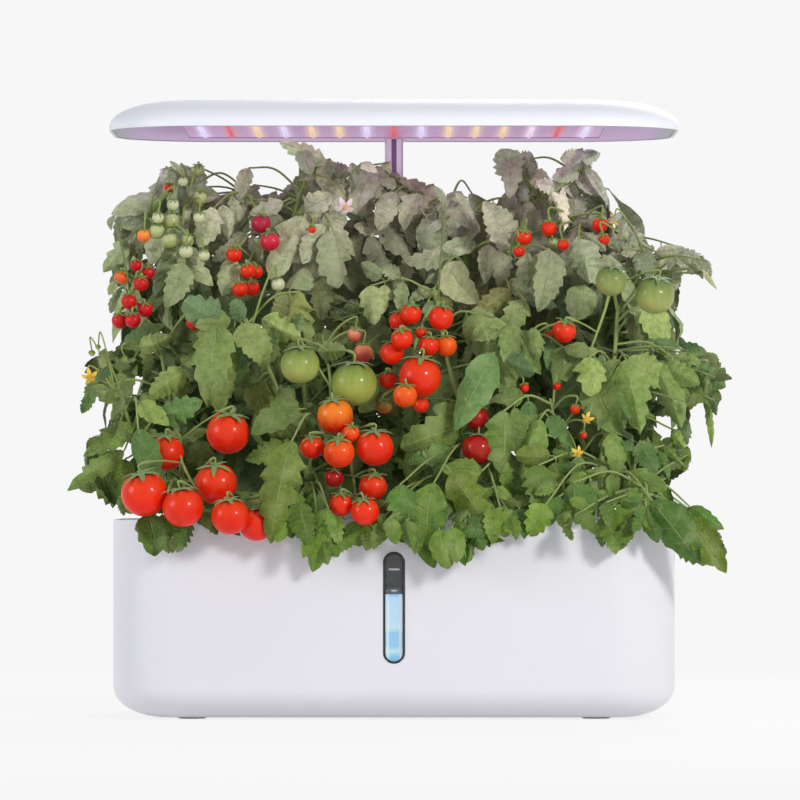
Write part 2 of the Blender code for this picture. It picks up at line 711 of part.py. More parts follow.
def build_deck(parts, cutters, white):
    width = base_width - 2 * deck_ledge - 2 * seat_gap
    depth = base_depth - 2 * deck_ledge - 2 * seat_gap
    plate = block_mesh((width, depth, deck_thickness), base_corner - deck_ledge - seat_gap)
    deck = make_object("deck", moved(plate, (0, 0, (deck_top + deck_under) / 2)), parts, white)
    hinge_z = deck_top + hinge_height
    ear_low = deck_under + seat_gap
    ear_rise = hinge_z + hinge_barrel_radius - ear_low
    ears = []
    for side in (-1, 1):
        ear = turned_to_x(block_mesh((ear_rise, 2 * hinge_barrel_radius, hinge_ear_length),
                                     hinge_barrel_radius - round_end_rest, corner_steps=4))
        middle_x = port_x + side * (hinge_barrel_length / 2 + seat_gap + hinge_ear_length / 2)
        ears.append(moved(ear, (middle_x, hinge_y, ear_low + ear_rise / 2)))
    fuse(deck, make_object("hinge_ears", joined(ears), cutters))
    holes = [upright_span(basket_radius + seat_gap, spot, deck_under - overrun, deck_top + overrun)
             for spot in basket_spots()]
    port = span_block((port_x - port_width / 2, port_y - port_depth / 2, deck_under - overrun),
                      (port_x + port_width / 2, port_y + port_depth / 2, deck_top + overrun),
                      corner=port_corner, corner_steps=3)
    seat = span_block((-socket_half_width - seat_gap, pole_y - socket_half_depth - seat_gap,
                       deck_under - overrun),
                      (socket_half_width + seat_gap, pole_y + socket_half_depth + seat_gap,
                       deck_top + overrun))
    bore = upright_span(hose_radius + seat_gap, (nozzle_x, nozzle_y), deck_under - overrun,
                        deck_top + overrun, 14)
    plungers = [upright_span(plunger_radius + seat_gap, (x, panel_y), deck_under - overrun,
                             deck_top + overrun, 10) for x in button_places()]
    pin = turned_to_x(cylinder_mesh(hinge_pin_radius + seat_gap, hinge_pin_length + 2 * overrun, 10))
    pin = moved(pin, (port_x, hinge_y, hinge_z))
    cut(deck, make_object("deck_holes", joined([*holes, port, seat, bore, *plungers, pin]), cutters))


def build_pole_socket(parts, cutters, white):
    """The socket that drops through the deck and holds the outer pole."""
    low = deck_under - socket_depth
    flange_low = deck_top + seat_gap
    flange_top = flange_low + socket_flange_height
    body = span_block((-socket_half_width, pole_y - socket_half_depth, low),
                      (socket_half_width, pole_y + socket_half_depth, (flange_low + flange_top) / 2))
    socket = make_object("pole_socket", body, parts, white)
    flange = span_block((-socket_half_width - socket_flange, pole_y - socket_half_depth - socket_flange,
                         flange_low),
                        (socket_half_width + socket_flange, pole_y + socket_half_depth + socket_flange,
                         flange_top))
    fuse(socket, make_object("socket_flange", flange, cutters))
    well = span_block((-pole_socket_width / 2, pole_y - pole_socket_depth / 2, low + socket_floor),
                      (pole_socket_width / 2, pole_y + pole_socket_depth / 2, flange_top + overrun))
    cut(socket, make_object("socket_well", well, cutters))


def build_fill_cap(parts, cutters, white):
    hinge = Vector((port_x, hinge_y, deck_top + hinge_height))
    front = port_y - port_depth / 2 - cap_margin
    low = deck_top + seat_gap
    side = port_width / 2 + cap_margin
    lid = span_block((port_x - side, front, low),
                     (port_x + side, hinge_y - hinge_barrel_radius - seat_gap, low + cap_thickness))
    lid = make_object("fill_cap", lid, parts, white)
    barrel = turned_to_x(cylinder_mesh(hinge_barrel_radius, hinge_barrel_length, 14))
    tongue = span_block((port_x - hinge_barrel_length / 2, hinge_y - hinge_barrel_radius - cap_margin, low),
                        (port_x + hinge_barrel_length / 2, hinge_y, low + cap_thickness))
    fuse(lid, make_object("cap_tongue", tongue, cutters))
    fuse(lid, make_object("cap_barrel", moved(barrel, hinge), cutters))
    pin = turned_to_x(cylinder_mesh(hinge_pin_radius, hinge_pin_length, 10))
    fuse(lid, make_object("cap_pin", moved(pin, hinge), cutters))
    set_origin(lid, hinge)


def button_places():
    return [step * button_pitch for step in (-1, 0, 1)]


def build_buttons(parts, cutters, white, grey):
    low = deck_top + seat_gap
    top = low + panel_height
    panel = block_mesh((panel_width, panel_depth, panel_height), panel_corner,
                       panel_edge, panel_edge, low=False, edge_steps=2)
    panel = make_object("button_panel", moved(panel, (0, panel_y, low + panel_height / 2)), parts, white)
    holes = [upright_span(button_radius + seat_gap, (x, panel_y), low - overrun, top + overrun, 16)
             for x in button_places()]
    cut(panel, make_object("button_holes", joined(holes), cutters))
    for name, x in zip(("light_button", "pump_button", "timer_button"), button_places()):
        face = top + button_proud
        cap = upright_span(button_radius, (x, panel_y), face - button_thickness, face, 16)
        button = make_object(name, cap, parts, grey)
        stem = upright_span(plunger_radius, (x, panel_y), switch_top + button_travel + seat_gap,
                            face - button_thickness / 2, 10)
        fuse(button, make_object(f"{name}_stem", stem, cutters))
        set_origin(button, (x, panel_y, face))


def build_control_box(parts, cutters, white, board_green):
    top = deck_under - seat_gap
    low = top - box_height
    half_width, half_depth = box_width / 2, box_depth / 2
    box = span_block((-half_width, panel_y - half_depth, low), (half_width, panel_y + half_depth, top))
    box = make_object("control_box", box, parts, white)
    hollow = span_block((-half_width + box_wall, panel_y - half_depth + box_wall, low + box_wall),
                        (half_width - box_wall, panel_y + half_depth - box_wall, top + overrun))
    cut(box, make_object("control_box_hollow", hollow, cutters))
    inset = box_wall + seat_gap
    board = span_block((-half_width + inset, panel_y - half_depth + inset, board_low),
                       (half_width - inset, panel_y + half_depth - inset, board_low + board_thickness))
    board = make_object("control_board", board, parts, board_green)
    face = board_low + board_thickness
    pieces = [span_block((x - switch_size / 2, panel_y - switch_size / 2, face - seat_gap),
                         (x + switch_size / 2, panel_y + switch_size / 2, switch_top))
              for x in button_places()]
    for x in (-button_pitch / 2, button_pitch / 2):
        pieces.append(span_block((x - chip_width / 2, panel_y - half_depth + 2 * inset, face - seat_gap),
                                 (x + chip_width / 2, panel_y - switch_size / 2 - inset,
                                  face + chip_height)))
    fuse(board, make_object("board_pieces", joined(pieces), cutters))


def build_inlet(parts, cutters, black):
    outer = rear_y + seat_gap
    body = turned_to_y(cylinder_mesh(inlet_radius, inlet_length, 16))
    inlet = make_object("power_inlet", moved(body, (inlet_x, outer + inlet_flange_thickness / 2
                                                   - inlet_length / 2, inlet_z)), parts, black)
    flange = turned_to_y(cylinder_mesh(inlet_flange, inlet_flange_thickness, 16))
    fuse(inlet, make_object("inlet_flange", moved(flange, (inlet_x, outer + inlet_flange_thickness / 2,
                                                           inlet_z)), cutters))
    bore = turned_to_y(cylinder_mesh(inlet_bore, inlet_bore_depth + overrun, 12))
    cut(inlet, make_object("inlet_bore", moved(bore, (inlet_x, outer + inlet_flange_thickness + overrun
                                                      - (inlet_bore_depth + overrun) / 2, inlet_z)), cutters))


def build_inlet_lead(parts, black):
    """The lead from the inlet's inner end to the rear half of the control box's side."""
    start_y = rear_y + inlet_flange_thickness / 2 - inlet_length
    box_middle_z = deck_under - seat_gap - box_height / 2
    side_x = box_width / 2 + seat_gap
    end_y = panel_y + box_depth / 4
    tube_object("inlet_lead", [(inlet_x, start_y, inlet_z),
                               (inlet_x, start_y - 3 * cable_radius, inlet_z),
                               (inlet_x - cable_radius, (start_y + end_y) / 2, inlet_z),
                               (side_x + 5 * cable_radius, end_y + 3 * cable_radius, box_middle_z),
                               (side_x + 2 * cable_radius, end_y, box_middle_z),
                               (side_x, end_y, box_middle_z)],
                cable_radius, parts, black)


def build_pump(parts, cutters, black, grey, steel):
    low = floor_top + seat_gap
    front = pump_y - pump_depth / 2
    top = low + pump_height
    middle = Vector((pump_x, pump_y, low + pump_height / 2))
    body = make_object("pump_body", moved(block_mesh((pump_width, pump_depth, pump_height), pump_corner,
                                                     corner_steps=3), middle), parts, black)
    neck = upright_span(nozzle_radius, (nozzle_x, nozzle_y), top - overrun, top + nozzle_height, 12)
    fuse(body, make_object("pump_neck", neck, cutters))
    chamber = turned_to_y(cylinder_mesh(rotor_chamber_radius, rotor_chamber_depth + overrun, 20))
    chamber = moved(chamber, (pump_x, front + (rotor_chamber_depth - overrun) / 2, middle.z))
    bore = upright_span(nozzle_bore, (nozzle_x, nozzle_y), middle.z, top + nozzle_height + overrun, 10)
    cut(body, make_object("rotor_chamber", chamber, cutters), make_object("nozzle_bore", bore, cutters))

    cover_back = front - seat_gap
    cover = span_block((pump_x - pump_width / 2, cover_back - cover_thickness, low),
                       (pump_x + pump_width / 2, cover_back, top))
    cover = make_object("pump_cover", cover, parts, black)
    slots = []
    for step in range(cover_slots):
        x = pump_x + (step - (cover_slots - 1) / 2) * cover_slot_pitch
        for side in (-1, 1):
            slot_low = middle.z + side * cover_slot_height / 2
            edge = middle.z + side * rotor_shaft_radius * 2
            slots.append(span_block((x - cover_slot_width / 2, cover_back - cover_thickness - overrun,
                                     min(slot_low, edge)),
                                    (x + cover_slot_width / 2, cover_back + overrun, max(slot_low, edge))))
    cut(cover, make_object("cover_slots", joined(slots), cutters))

    shaft_front = cover_back + seat_gap
    shaft_back = front + rotor_chamber_depth - seat_gap
    shaft = turned_to_y(cylinder_mesh(rotor_shaft_radius, shaft_back - shaft_front, 10))
    make_object("pump_shaft", moved(shaft, (pump_x, (shaft_front + shaft_back) / 2, middle.z)), parts, steel)
    rotor_place = Vector((pump_x, front + rotor_chamber_depth / 2, middle.z))
    hub = turned_to_y(cylinder_mesh(rotor_hub_radius, rotor_length, 14))
    rotor = make_object("pump_impeller", moved(hub, rotor_place), parts, grey)
    for step in range(rotor_blades // 2):
        blade = block_mesh((2 * rotor_radius, rotor_length - 2 * seat_gap, rotor_blade_thickness))
        turn = Matrix.Rotation(step * 2 * math.pi / rotor_blades, 4, "Y")
        bmesh.ops.transform(blade, matrix=Matrix.Translation(rotor_place) @ turn, verts=blade.verts)
        fuse(rotor, make_object(f"rotor_blade_{step + 1}", blade, cutters))
    hole = turned_to_y(cylinder_mesh(rotor_shaft_radius + seat_gap, rotor_length + 2 * overrun, 10))
    cut(rotor, make_object("rotor_hole", moved(hole, rotor_place), cutters))
    set_origin(rotor, rotor_place)

    hose_low = top + hose_bottom_lift
    hose_top = deck_top + hose_proud
    hose = upright_span(hose_radius, (nozzle_x, nozzle_y), hose_low, hose_top, 14)
    hose = make_object("pump_hose", hose, parts, grey)
    hose_hole = upright_span(hose_bore, (nozzle_x, nozzle_y), hose_low - overrun, hose_top + overrun, 12)
    cut(hose, make_object("hose_bore", hose_hole, cutters))

    back = pump_y + pump_depth / 2 + seat_gap
    box_low = deck_under - seat_gap - box_height
    side_x = pump_x - pump_width / 4
    rise = box_low - middle.z
    tube_object("pump_cable", [(side_x, back, middle.z), (side_x, back + cable_radius, middle.z),
                               (side_x, back + pump_corner, middle.z + cable_radius),
                               (side_x, panel_y - box_wall, middle.z + rise / 4),
                               (side_x, panel_y, middle.z + rise / 2),
                               (side_x, panel_y, box_low - seat_gap)],
                cable_radius, parts, black)


def pole_section(width, depth, low, high, **shape):
    return span_block((-width / 2, pole_y - depth / 2, low), (width / 2, pole_y + depth / 2, high), **shape)


def build_pole(parts, cutters, aluminium, white, black):
    outer_low = deck_under - socket_depth + socket_floor + seat_gap
    outer = make_object("pole_outer", pole_section(outer_width, outer_depth, outer_low, pole_outer_top,
                                                   corner=pole_corner, corner_steps=2), parts, aluminium)
    guide_width = pole_width + 2 * pole_slack
    guide_depth = pole_depth + 2 * pole_slack
    cut(outer, make_object("pole_outer_bore", pole_section(guide_width, guide_depth, outer_low - overrun,
                                                           pole_outer_top + overrun), cutters))
    cap_low = pole_outer_top - pole_cap_lip
    cap_top = pole_outer_top + seat_gap + pole_cap_thickness
    grow = 2 * (seat_gap + pole_cap_wall)
    cap = make_object("pole_cap", pole_section(outer_width + grow, outer_depth + grow, cap_low, cap_top,
                                               corner=pole_cap_wall, corner_steps=3), parts, white)
    cut(cap, make_object("pole_cap_pocket",
                         pole_section(outer_width + 2 * seat_gap, outer_depth + 2 * seat_gap,
                                      cap_low - overrun, pole_outer_top + seat_gap), cutters),
        make_object("pole_cap_hole", pole_section(guide_width, guide_depth, cap_low, cap_top + overrun),
                    cutters))
    inner_low = pole_outer_top - pole_least_overlap - lift_travel
    inner = make_object("pole_inner", pole_section(pole_width, pole_depth, inner_low, pocket_top - seat_gap,
                                                   corner=pole_corner, corner_steps=2), parts, aluminium)
    front = pole_y - pole_depth / 2
    groove = span_block((-pole_groove_width / 2, front - overrun, inner_low - overrun),
                        (pole_groove_width / 2, front + pole_groove_depth, lamp_top))
    back = pole_y + pole_depth / 2 - pole_bore_back
    bore = span_block((-pole_bore_width / 2, back - pole_bore_depth, inner_low - overrun),
                      (pole_bore_width / 2, back, lamp_top))
    cut(inner, make_object("pole_groove", groove, cutters), make_object("pole_inner_bore", bore, cutters))
    lead_y = back - pole_bore_depth / 2
    lead = upright_span(lead_radius, (0, lead_y), outer_low, pocket_top - seat_gap, 10)
    make_object("lamp_lead", lead, parts, black)


def build_lamp(parts, cutters, white, plate_white, board_white):
    middle = lamp_under + lamp_thickness / 2
    shell = block_mesh((lamp_width, lamp_depth, lamp_thickness), lamp_corner, lamp_edge_run,
                       lamp_edge_rise, low=False, corner_steps=6)
    shell = make_object("lamp_shell", moved(shell, (0, 0, middle)), parts, white)
    inner_width = lamp_width - 2 * lamp_wall
    inner_depth = lamp_depth - 2 * lamp_wall
    roof = lamp_top - lamp_wall
    hollow_height = roof - lamp_under + overrun
    hollow = block_mesh((inner_width, inner_depth, hollow_height), lamp_corner - lamp_wall,
                        lamp_edge_run - lamp_wall, lamp_edge_rise - lamp_wall, low=False, corner_steps=6)
    hollow = make_object("lamp_hollow", moved(hollow, (0, 0, roof - hollow_height / 2)), cutters)
    plate_low = lamp_under + plate_lift
    plate_top = plate_low + plate_thickness
    boss_top = roof + lamp_wall / 2
    posts = [upright_span(lamp_boss_radius, (x * lamp_boss_x_share * lamp_width,
                                             y * lamp_boss_y_share * lamp_depth),
                          plate_top + seat_gap, boss_top, 10) for x in (-1, 0, 1) for y in (-1, 1)]
    pocket_half_width = pole_width / 2 + seat_gap + pole_pocket_wall
    pocket_half_depth = pole_depth / 2 + seat_gap + pole_pocket_wall
    pocket = span_block((-pocket_half_width, pole_y - pocket_half_depth, plate_top + seat_gap),
                        (pocket_half_width, pole_y + pocket_half_depth, pocket_top + lamp_wall))
    cut(shell, hollow)
    fuse(shell, make_object("lamp_fittings", joined([*posts, pocket]), cutters))
    cut(shell, make_object("lamp_pocket", pole_section(pole_width + 2 * seat_gap, pole_depth + 2 * seat_gap,
                                                       lamp_under, pocket_top), cutters))
    plate = block_mesh((inner_width - 2 * seat_gap, inner_depth - 2 * seat_gap, plate_thickness),
                       lamp_corner - lamp_wall - seat_gap, corner_steps=6)
    plate = make_object("lamp_plate", moved(plate, (0, 0, (plate_low + plate_top) / 2)), parts, plate_white)
    half_width = (led_columns - 1) / 2 * led_pitch + led_margin
    opening = span_block((-half_width - seat_gap, led_front_y - seat_gap, plate_low - overrun),
                         (half_width + seat_gap, led_back_y + seat_gap, plate_top + overrun))
    passage = pole_section(pole_width + 2 * seat_gap, pole_depth + 2 * seat_gap, plate_low - overrun,
                           plate_top + overrun)
    cut(plate, make_object("plate_openings", joined([opening, passage]), cutters))
    board = span_block((-half_width, led_front_y, plate_top - led_board_thickness),
                       (half_width, led_back_y, plate_top))
    board = make_object("led_board", board, parts, board_white)
    strips = []
    for column in range(led_columns):
        x = (column - (led_columns - 1) / 2) * led_pitch
        under = plate_top - led_board_thickness
        strips.append(span_block((x - led_strip_width / 2, led_front_y + led_margin / 2,
                                  under - led_strip_height),
                                 (x + led_strip_width / 2, led_back_y - led_margin / 2, under + seat_gap)))
    fuse(board, make_object("led_strips", joined(strips), cutters))


def build_baskets(parts, cutters, white):
    rim_low = deck_top + seat_gap
    for number, spot in enumerate(basket_spots(), 1):
        top = rim_low + basket_flange_height
        low = top - basket_depth
        outside = basket_radius - basket_taper
        shoulder = (rim_low + top) / 2
        body = moved(cylinder_mesh(outside, shoulder - low, 12, basket_radius),
                     (*spot, (low + shoulder) / 2))
        basket = make_object(f"grow_basket_{number}", body, parts, white)
        flange = upright_span(basket_radius + basket_flange, spot, rim_low, top, 12)
        fuse(basket, make_object(f"basket_flange_{number}", flange, cutters))
        inner_low = low + basket_wall
        inner = cylinder_mesh(outside - basket_wall, top + overrun - inner_low, 12,
                              basket_radius - basket_wall)
        inner = moved(inner, (*spot, (inner_low + top + overrun) / 2))
        drain = upright_span(basket_floor_hole, spot, low - overrun, inner_low + overrun, 8)
        cut(basket, make_object(f"basket_hollow_{number}", inner, cutters),
            make_object(f"basket_drain_{number}", drain, cutters))


def from_picture(column, row, depth_share):
    """The point at a picture column and row, at a depth in halves of the base's depth."""
    y = depth_share * base_depth / 2
    x = (column - picture_middle_column) / picture_base_columns * base_width
    z = rim_height + (picture_rim_row - row) / (picture_rim_row - picture_lamp_row) * lamp_clear_height
    spread = 1 + (y - face_y_share * base_depth) / eye_distance
    return Vector((x * spread, y, eye_height + (z - eye_height) * spread))


def picture_length(columns):
    return columns / picture_base_columns * base_width


def across(direction, facing):
    """Side and face directions of a flat strip that runs along direction."""
    direction = direction.normalized()
    side = facing.cross(direction)
    if side.length < parallel_limit_share:
        side = Vector((1, 0, 0)).cross(direction)
    side.normalize()
    return side, direction.cross(side).normalized()


def add_loft(bm, sections):
    """A closed four-sided loft. A section is a centre, a side offset, a face offset and
    how far the sides lie back from the centre; the last section is a point."""
    outlines = []
    for centre, side, face, fold in sections[:-1]:
        outline = [centre - side - fold, centre - face, centre + side - fold, centre + face]
        if outlines:
            turns = [outline[step:] + outline[:step] for step in range(4)]
            outline = min(turns, key=lambda turn: sum((a - b).length for a, b in zip(turn, outlines[-1])))
        outlines.append(outline)
    rings = [[bm.verts.new(point) for point in outline] for outline in outlines]
    bm.faces.new(rings[0][::-1])
    for low, high in zip(rings, rings[1:]):
        for step in range(4):
            nxt = (step + 1) % 4
            bm.faces.new((low[step], low[nxt], high[nxt], high[step]))
    tip = bm.verts.new(sections[-1][0])
    for step in range(4):
        bm.faces.new((rings[-1][step], rings[-1][(step + 1) % 4], tip))


def stem_sections(points, radii, facing):
    sections = []
    for number, point in enumerate(points):
        ahead = points[min(number + 1, len(points) - 1)] - points[max(number - 1, 0)]
        side, face = across(ahead, facing)
        sections.append((point, side * radii[number], face * radii[number], Vector()))
    end = points[-1] + (points[-1] - points[-2]).normalized() * radii[-1]
    sections.append((end, Vector(), Vector(), Vector()))
    return sections


def stalk_knee(root, base):
    """The middle of a leaf stalk, which bows up."""
    return (root + base) / 2 + Vector((0, 0, (base - root).length * petiole_rise_share))


def stalk_start(root, base):
    return (stalk_knee(root, base) - root).normalized()


def leaf_sections(leaf, margin=0.0, start=0.0):
    """The loft of a leaf, from its root or from a distance along its stalk."""
    root, base, tip, width, facing = leaf
    run = tip - base
    side, face = across(run, facing)
    knee = stalk_knee(root, base)
    root = root + stalk_start(root, base) * start
    stalk = petiole_radius + margin
    thin = blade_half_thickness + margin
    stalk_side, stalk_face = across(base - root, Vector((0, 0, 1)))
    sections = [(root, stalk_side * stalk, stalk_face * stalk, Vector()),
                (knee, stalk_side * stalk, stalk_face * stalk, Vector()),
                (base, side * stalk, face * stalk, Vector())]
    for share, width_share, bow_share in blade_shares:
        centre = base + run * share + face * (run.length * bow_share)
        sections.append((centre, side * (width * width_share / 2 + margin), face * thin,
                         face * (width * leaf_fold_share)))
    sections.append((tip + run.normalized() * margin, Vector(), Vector(), Vector()))
    return sections


def loft_mesh(*lofts):
    bm = bmesh.new()
    for sections in lofts:
        add_loft(bm, sections)
    return bm


def loft_tree(*lofts):
    bm = loft_mesh(*lofts)
    tree = BVHTree.FromBMesh(bm)
    bm.free()
    return tree


def hardware_boxes():
    """Spaces that leaves keep out of: the base, what stands on the deck, the swing of
    the fill cap, the pole and the lamp."""
    half_width = base_width / 2 + wall_leaf_gap
    half_depth = base_depth / 2 + wall_leaf_gap
    above = deck_top + deck_piece_gap
    base = ((-half_width, -half_depth, -rim_height), (half_width, half_depth, rim_height + rim_leaf_gap))
    lamp = ((-lamp_width, -lamp_width, lamp_under - lamp_leaf_gap), (lamp_width, lamp_width, 2 * lamp_top))
    panel = ((-panel_width / 2, panel_y - panel_depth / 2, 0),
             (panel_width / 2, panel_y + panel_depth / 2, above))
    boxes = [base, lamp, panel]
    reach = basket_radius + basket_flange + wall_leaf_gap
    for x, y in basket_spots():
        boxes.append(((x - reach, y - reach, 0), (x + reach, y + reach, above)))
    swing = port_depth + 2 * cap_margin + hinge_barrel_radius
    side = port_width / 2 + 2 * cap_margin
    boxes.append(((port_x - side, hinge_y - swing - cap_margin, 0),
                  (port_x + side, hinge_y + 2 * cap_margin, deck_top + swing + 2 * cap_margin)))
    reach = outer_width / 2 + pole_cap_wall + wall_leaf_gap
    boxes.append(((-reach, pole_y - reach, 0), (reach, pole_y + reach, 2 * lamp_top)))
    return boxes


def box_tree(box):
    bm = span_block(*box)
    tree = BVHTree.FromBMesh(bm)
    bm.free()
    return tree


def inside(point, box):
    return all(low <= value <= high for low, value, high in zip(box[0], point, box[1]))


class Canopy:
    """Grows stems, trusses and leaves so that no two pieces of unlike owners meet."""

    def __init__(self):
        self.boxes = [(box, box_tree(box)) for box in hardware_boxes()]
        self.solids = []
        self.samples = []
        self.stems = [[] for _ in stem_picks]
        self.leaves = [[] for _ in stem_picks]
        self.trusses = []

    def add_stems(self):
        for plant, branches in enumerate(stem_picks):
            spot = basket_spots()[plant]
            for number, picks in enumerate(branches):
                points = [from_picture(*pick) for pick in picks]
                if number == 0:
                    points.insert(0, Vector((*spot, plug_top() - stem_radius)))
                    points.insert(1, Vector((*spot, deck_top + deck_piece_gap)))
                else:
                    points[0] = self.nearest(points[0], [plant])[0][1]
                thick = stem_radius if number == 0 else branch_radius
                last = len(points) - 1
                radii = [thick * (1 - stem_taper_share * step / last) for step in range(last + 1)]
                sections = stem_sections(points, radii, Vector(stem_facing_shares))
                self.stems[plant].append(sections)
                self.solids.append((plant, loft_tree(sections)))
                start = 1 if number == 0 else 0
                self.sample(plant, points[start:], radii[start:])

    def sample(self, plant, points, radii):
        """Knots along a stem, clear of its bends, where one leaf or truss each can grow."""
        for low, high, thick in zip(points, points[1:], radii[1:]):
            steps = max(1, round((high - low).length / stem_step))
            for step in range(steps):
                knot = low.lerp(high, (step + knot_share) / steps)
                self.samples.append((plant, knot, thick, (high - low).normalized()))

    def nearest(self, point, plants):
        picked = [sample for sample in self.samples if sample[0] in plants]
        return sorted(picked, key=lambda sample: (sample[1] - point).length)

    def add_trusses(self):
        for name, plant, stalk_picks, fruit_picks in truss_picks:
            stalk = [from_picture(*pick) for pick in stalk_picks]
            sample = self.nearest(stalk[0], [plant])[0]
            self.samples.remove(sample)
            _, knot, thick, _ = sample
            away = (stalk[0] - knot).normalized()
            stalk.insert(0, knot + away * (thick + 2 * seat_gap))
            lofts = [stem_sections(stalk, [rachis_radius] * len(stalk), Vector(rachis_facing_shares))]
            fruit = self.placed_fruit(fruit_picks)
            marks = [low.lerp(high, step / rachis_marks) for low, high in zip(stalk[1:], stalk[2:])
                     for step in range(rachis_marks + 1)]
            for centre, radius in fruit:
                top = centre + Vector((0, 0, radius * pedicel_depth_share))
                crown = centre + Vector((0, 0, radius + 2 * rachis_radius))
                mark = min(marks, key=lambda point: (point - crown).length)
                lofts.append(stem_sections([mark, top], [pedicel_radius] * 2, Vector(pedicel_facing_shares)))
            self.trusses.append((name, lofts, fruit))
            bm = bmesh.new()
            for sections in lofts:
                add_loft(bm, sections)
            for centre, radius in fruit:
                bmesh.ops.create_icosphere(bm, subdivisions=2, radius=radius + leaf_margin,
                                           matrix=Matrix.Translation(centre))
            self.solids.append((name, BVHTree.FromBMesh(bm)))
            bm.free()

    def placed_fruit(self, picks):
        placed = []
        for column, row, columns, depth_share in picks:
            centre = from_picture(column, row, depth_share)
            radius = picture_length(columns)
            for other, size in placed * 2:
                reach = (radius + size) * fruit_press_share
                flat = math.hypot(centre.x - other.x, centre.z - other.z)
                if flat < reach and (centre - other).length < reach:
                    shift = math.sqrt(reach ** 2 - flat ** 2)
                    centre.y = other.y + (shift if centre.y > other.y else -shift)
            if centre.z - radius < rim_height + rim_leaf_gap:
                centre.y = min(centre.y, front_y - wall_leaf_gap - radius)
            placed.append((centre, radius))
        return placed

    def is_clear(self, plant, leaf):
        sections = leaf_sections(leaf, leaf_margin, root_clearance)
        points = [centre + offset for centre, side, face, fold in sections
                  for offset in (Vector(), side, -side)]
        for box, tree in self.boxes:
            if any(inside(point, box) for point in points):
                return False
        loft = loft_tree(sections)
        if any(loft.overlap(tree) for _, tree in self.boxes):
            return False
        return not any(owner != plant and loft.overlap(tree) for owner, tree in self.solids)

    def add_leaf(self, base, tip, width, facing):
        """Hangs a leaf from the nearest stem that it can reach, and says whether it could."""
        tried = 0
        for sample in self.nearest(base, range(len(stem_picks))):
            plant, knot, _, along = sample
            reach = (base - knot).length
            if reach > longest_petiole or tried == stems_tried:
                return False
            if reach < shortest_petiole or knot.z > base.z + highest_root:
                continue
            if abs(stalk_start(knot, base).dot(along)) > steepest_branching_share:
                continue
            tried += 1
            leaf = (knot, base, tip, width, facing)
            if self.is_clear(plant, leaf):
                self.samples.remove(sample)
                self.leaves[plant].append(leaf)
                self.solids.append(("leaf", loft_tree(leaf_sections(leaf, start=root_clearance))))
                return True
        return False

    def add_picture_leaves(self):
        for number, (column, row, tip_column, tip_row, columns, depth) in enumerate(leaf_picks):
            turn = leaf_turn_shares[number % len(leaf_turn_shares)]
            for step in depth_step_shares:
                base = from_picture(column, row, depth + step)
                tip = from_picture(tip_column, tip_row, depth + step)
                tip.y -= (tip - base).length * leaf_tilt_share * (1 if depth > hang_depth_share else 0)
                if self.add_leaf(base, tip, picture_length(columns), Vector((turn[0], -1, turn[1]))):
                    break

    def add_ring_leaves(self):
        for level, (height_share, reach_share) in enumerate(ring_row_shares):
            for number in range(ring_leaves):
                share = (number + ring_stagger_share * (level % 2)) / ring_leaves
                angle = ring_start_angle + (ring_end_angle - ring_start_angle) * share
                out = Vector((math.cos(angle), math.sin(angle), 0))
                turn = leaf_turn_shares[(number + level) % len(leaf_turn_shares)]
                for pull in ring_pull_shares:
                    size = reach_share * pull
                    base = Vector((out.x * base_width * ring_width_share * size,
                                   out.y * base_depth * ring_depth_share * size
                                   + base_depth * ring_middle_share,
                                   rim_height + height_share * lamp_clear_height))
                    tip = base + out * ring_leaf_reach - Vector((0, 0, ring_leaf_length))
                    if self.add_leaf(base, tip, ring_leaf_width, out + Vector((turn[0], 0, turn[1]))):
                        break

    def add_rear_leaves(self):
        for number, share in enumerate(rear_hang_x_shares):
            base = Vector((share * base_width, rear_y + 3 * rim_leaf_gap, rim_height + rear_hang_base_lift))
            turn = leaf_turn_shares[number % len(leaf_turn_shares)]
            tip = base + Vector((turn[0] * rear_hang_drop, rear_hang_reach, -rear_hang_drop))
            self.add_leaf(base, tip, rear_hang_width, Vector((turn[0], 1, turn[1])))


def plug_top():
    return deck_top + seat_gap + basket_flange_height - basket_depth + basket_wall + seat_gap + plug_height


def grow_canopy():
    canopy = Canopy()
    canopy.add_stems()
    canopy.add_trusses()
    canopy.add_picture_leaves()
    canopy.add_rear_leaves()
    canopy.add_ring_leaves()
    return canopy


def build_plants(canopy, parts, cutters, green):
    plug_radius = basket_radius - basket_taper - basket_wall - seat_gap
    for plant, spot in enumerate(basket_spots()):
        shapes = [loft_mesh(sections) for sections in canopy.stems[plant]]
        shapes += [loft_mesh(leaf_sections(leaf)) for leaf in canopy.leaves[plant]]
        plug = upright_span(plug_radius, spot, plug_top() - plug_height, plug_top(), 10)
        plug = make_object(f"tomato_plant_{plant + 1}", plug, parts, green)
        fuse_group(plug, shapes, cutters)


def build_trusses(canopy, parts, cutters, red):
    for name, lofts, fruit in canopy.trusses:
        first = make_object(name, fruit_mesh(*fruit[0]), parts, red)
        shapes = [loft_mesh(sections) for sections in lofts]
        shapes += [fruit_mesh(centre, radius) for centre, radius in fruit[1:]]
        fuse_group(first, shapes, cutters)


def fruit_mesh(centre, radius):
    bm = bmesh.new()
    steps = 2 if radius > picture_length(large_fruit_columns) else 1
    bmesh.ops.create_icosphere(bm, subdivisions=steps, radius=radius, matrix=Matrix.Translation(centre))
    return bm


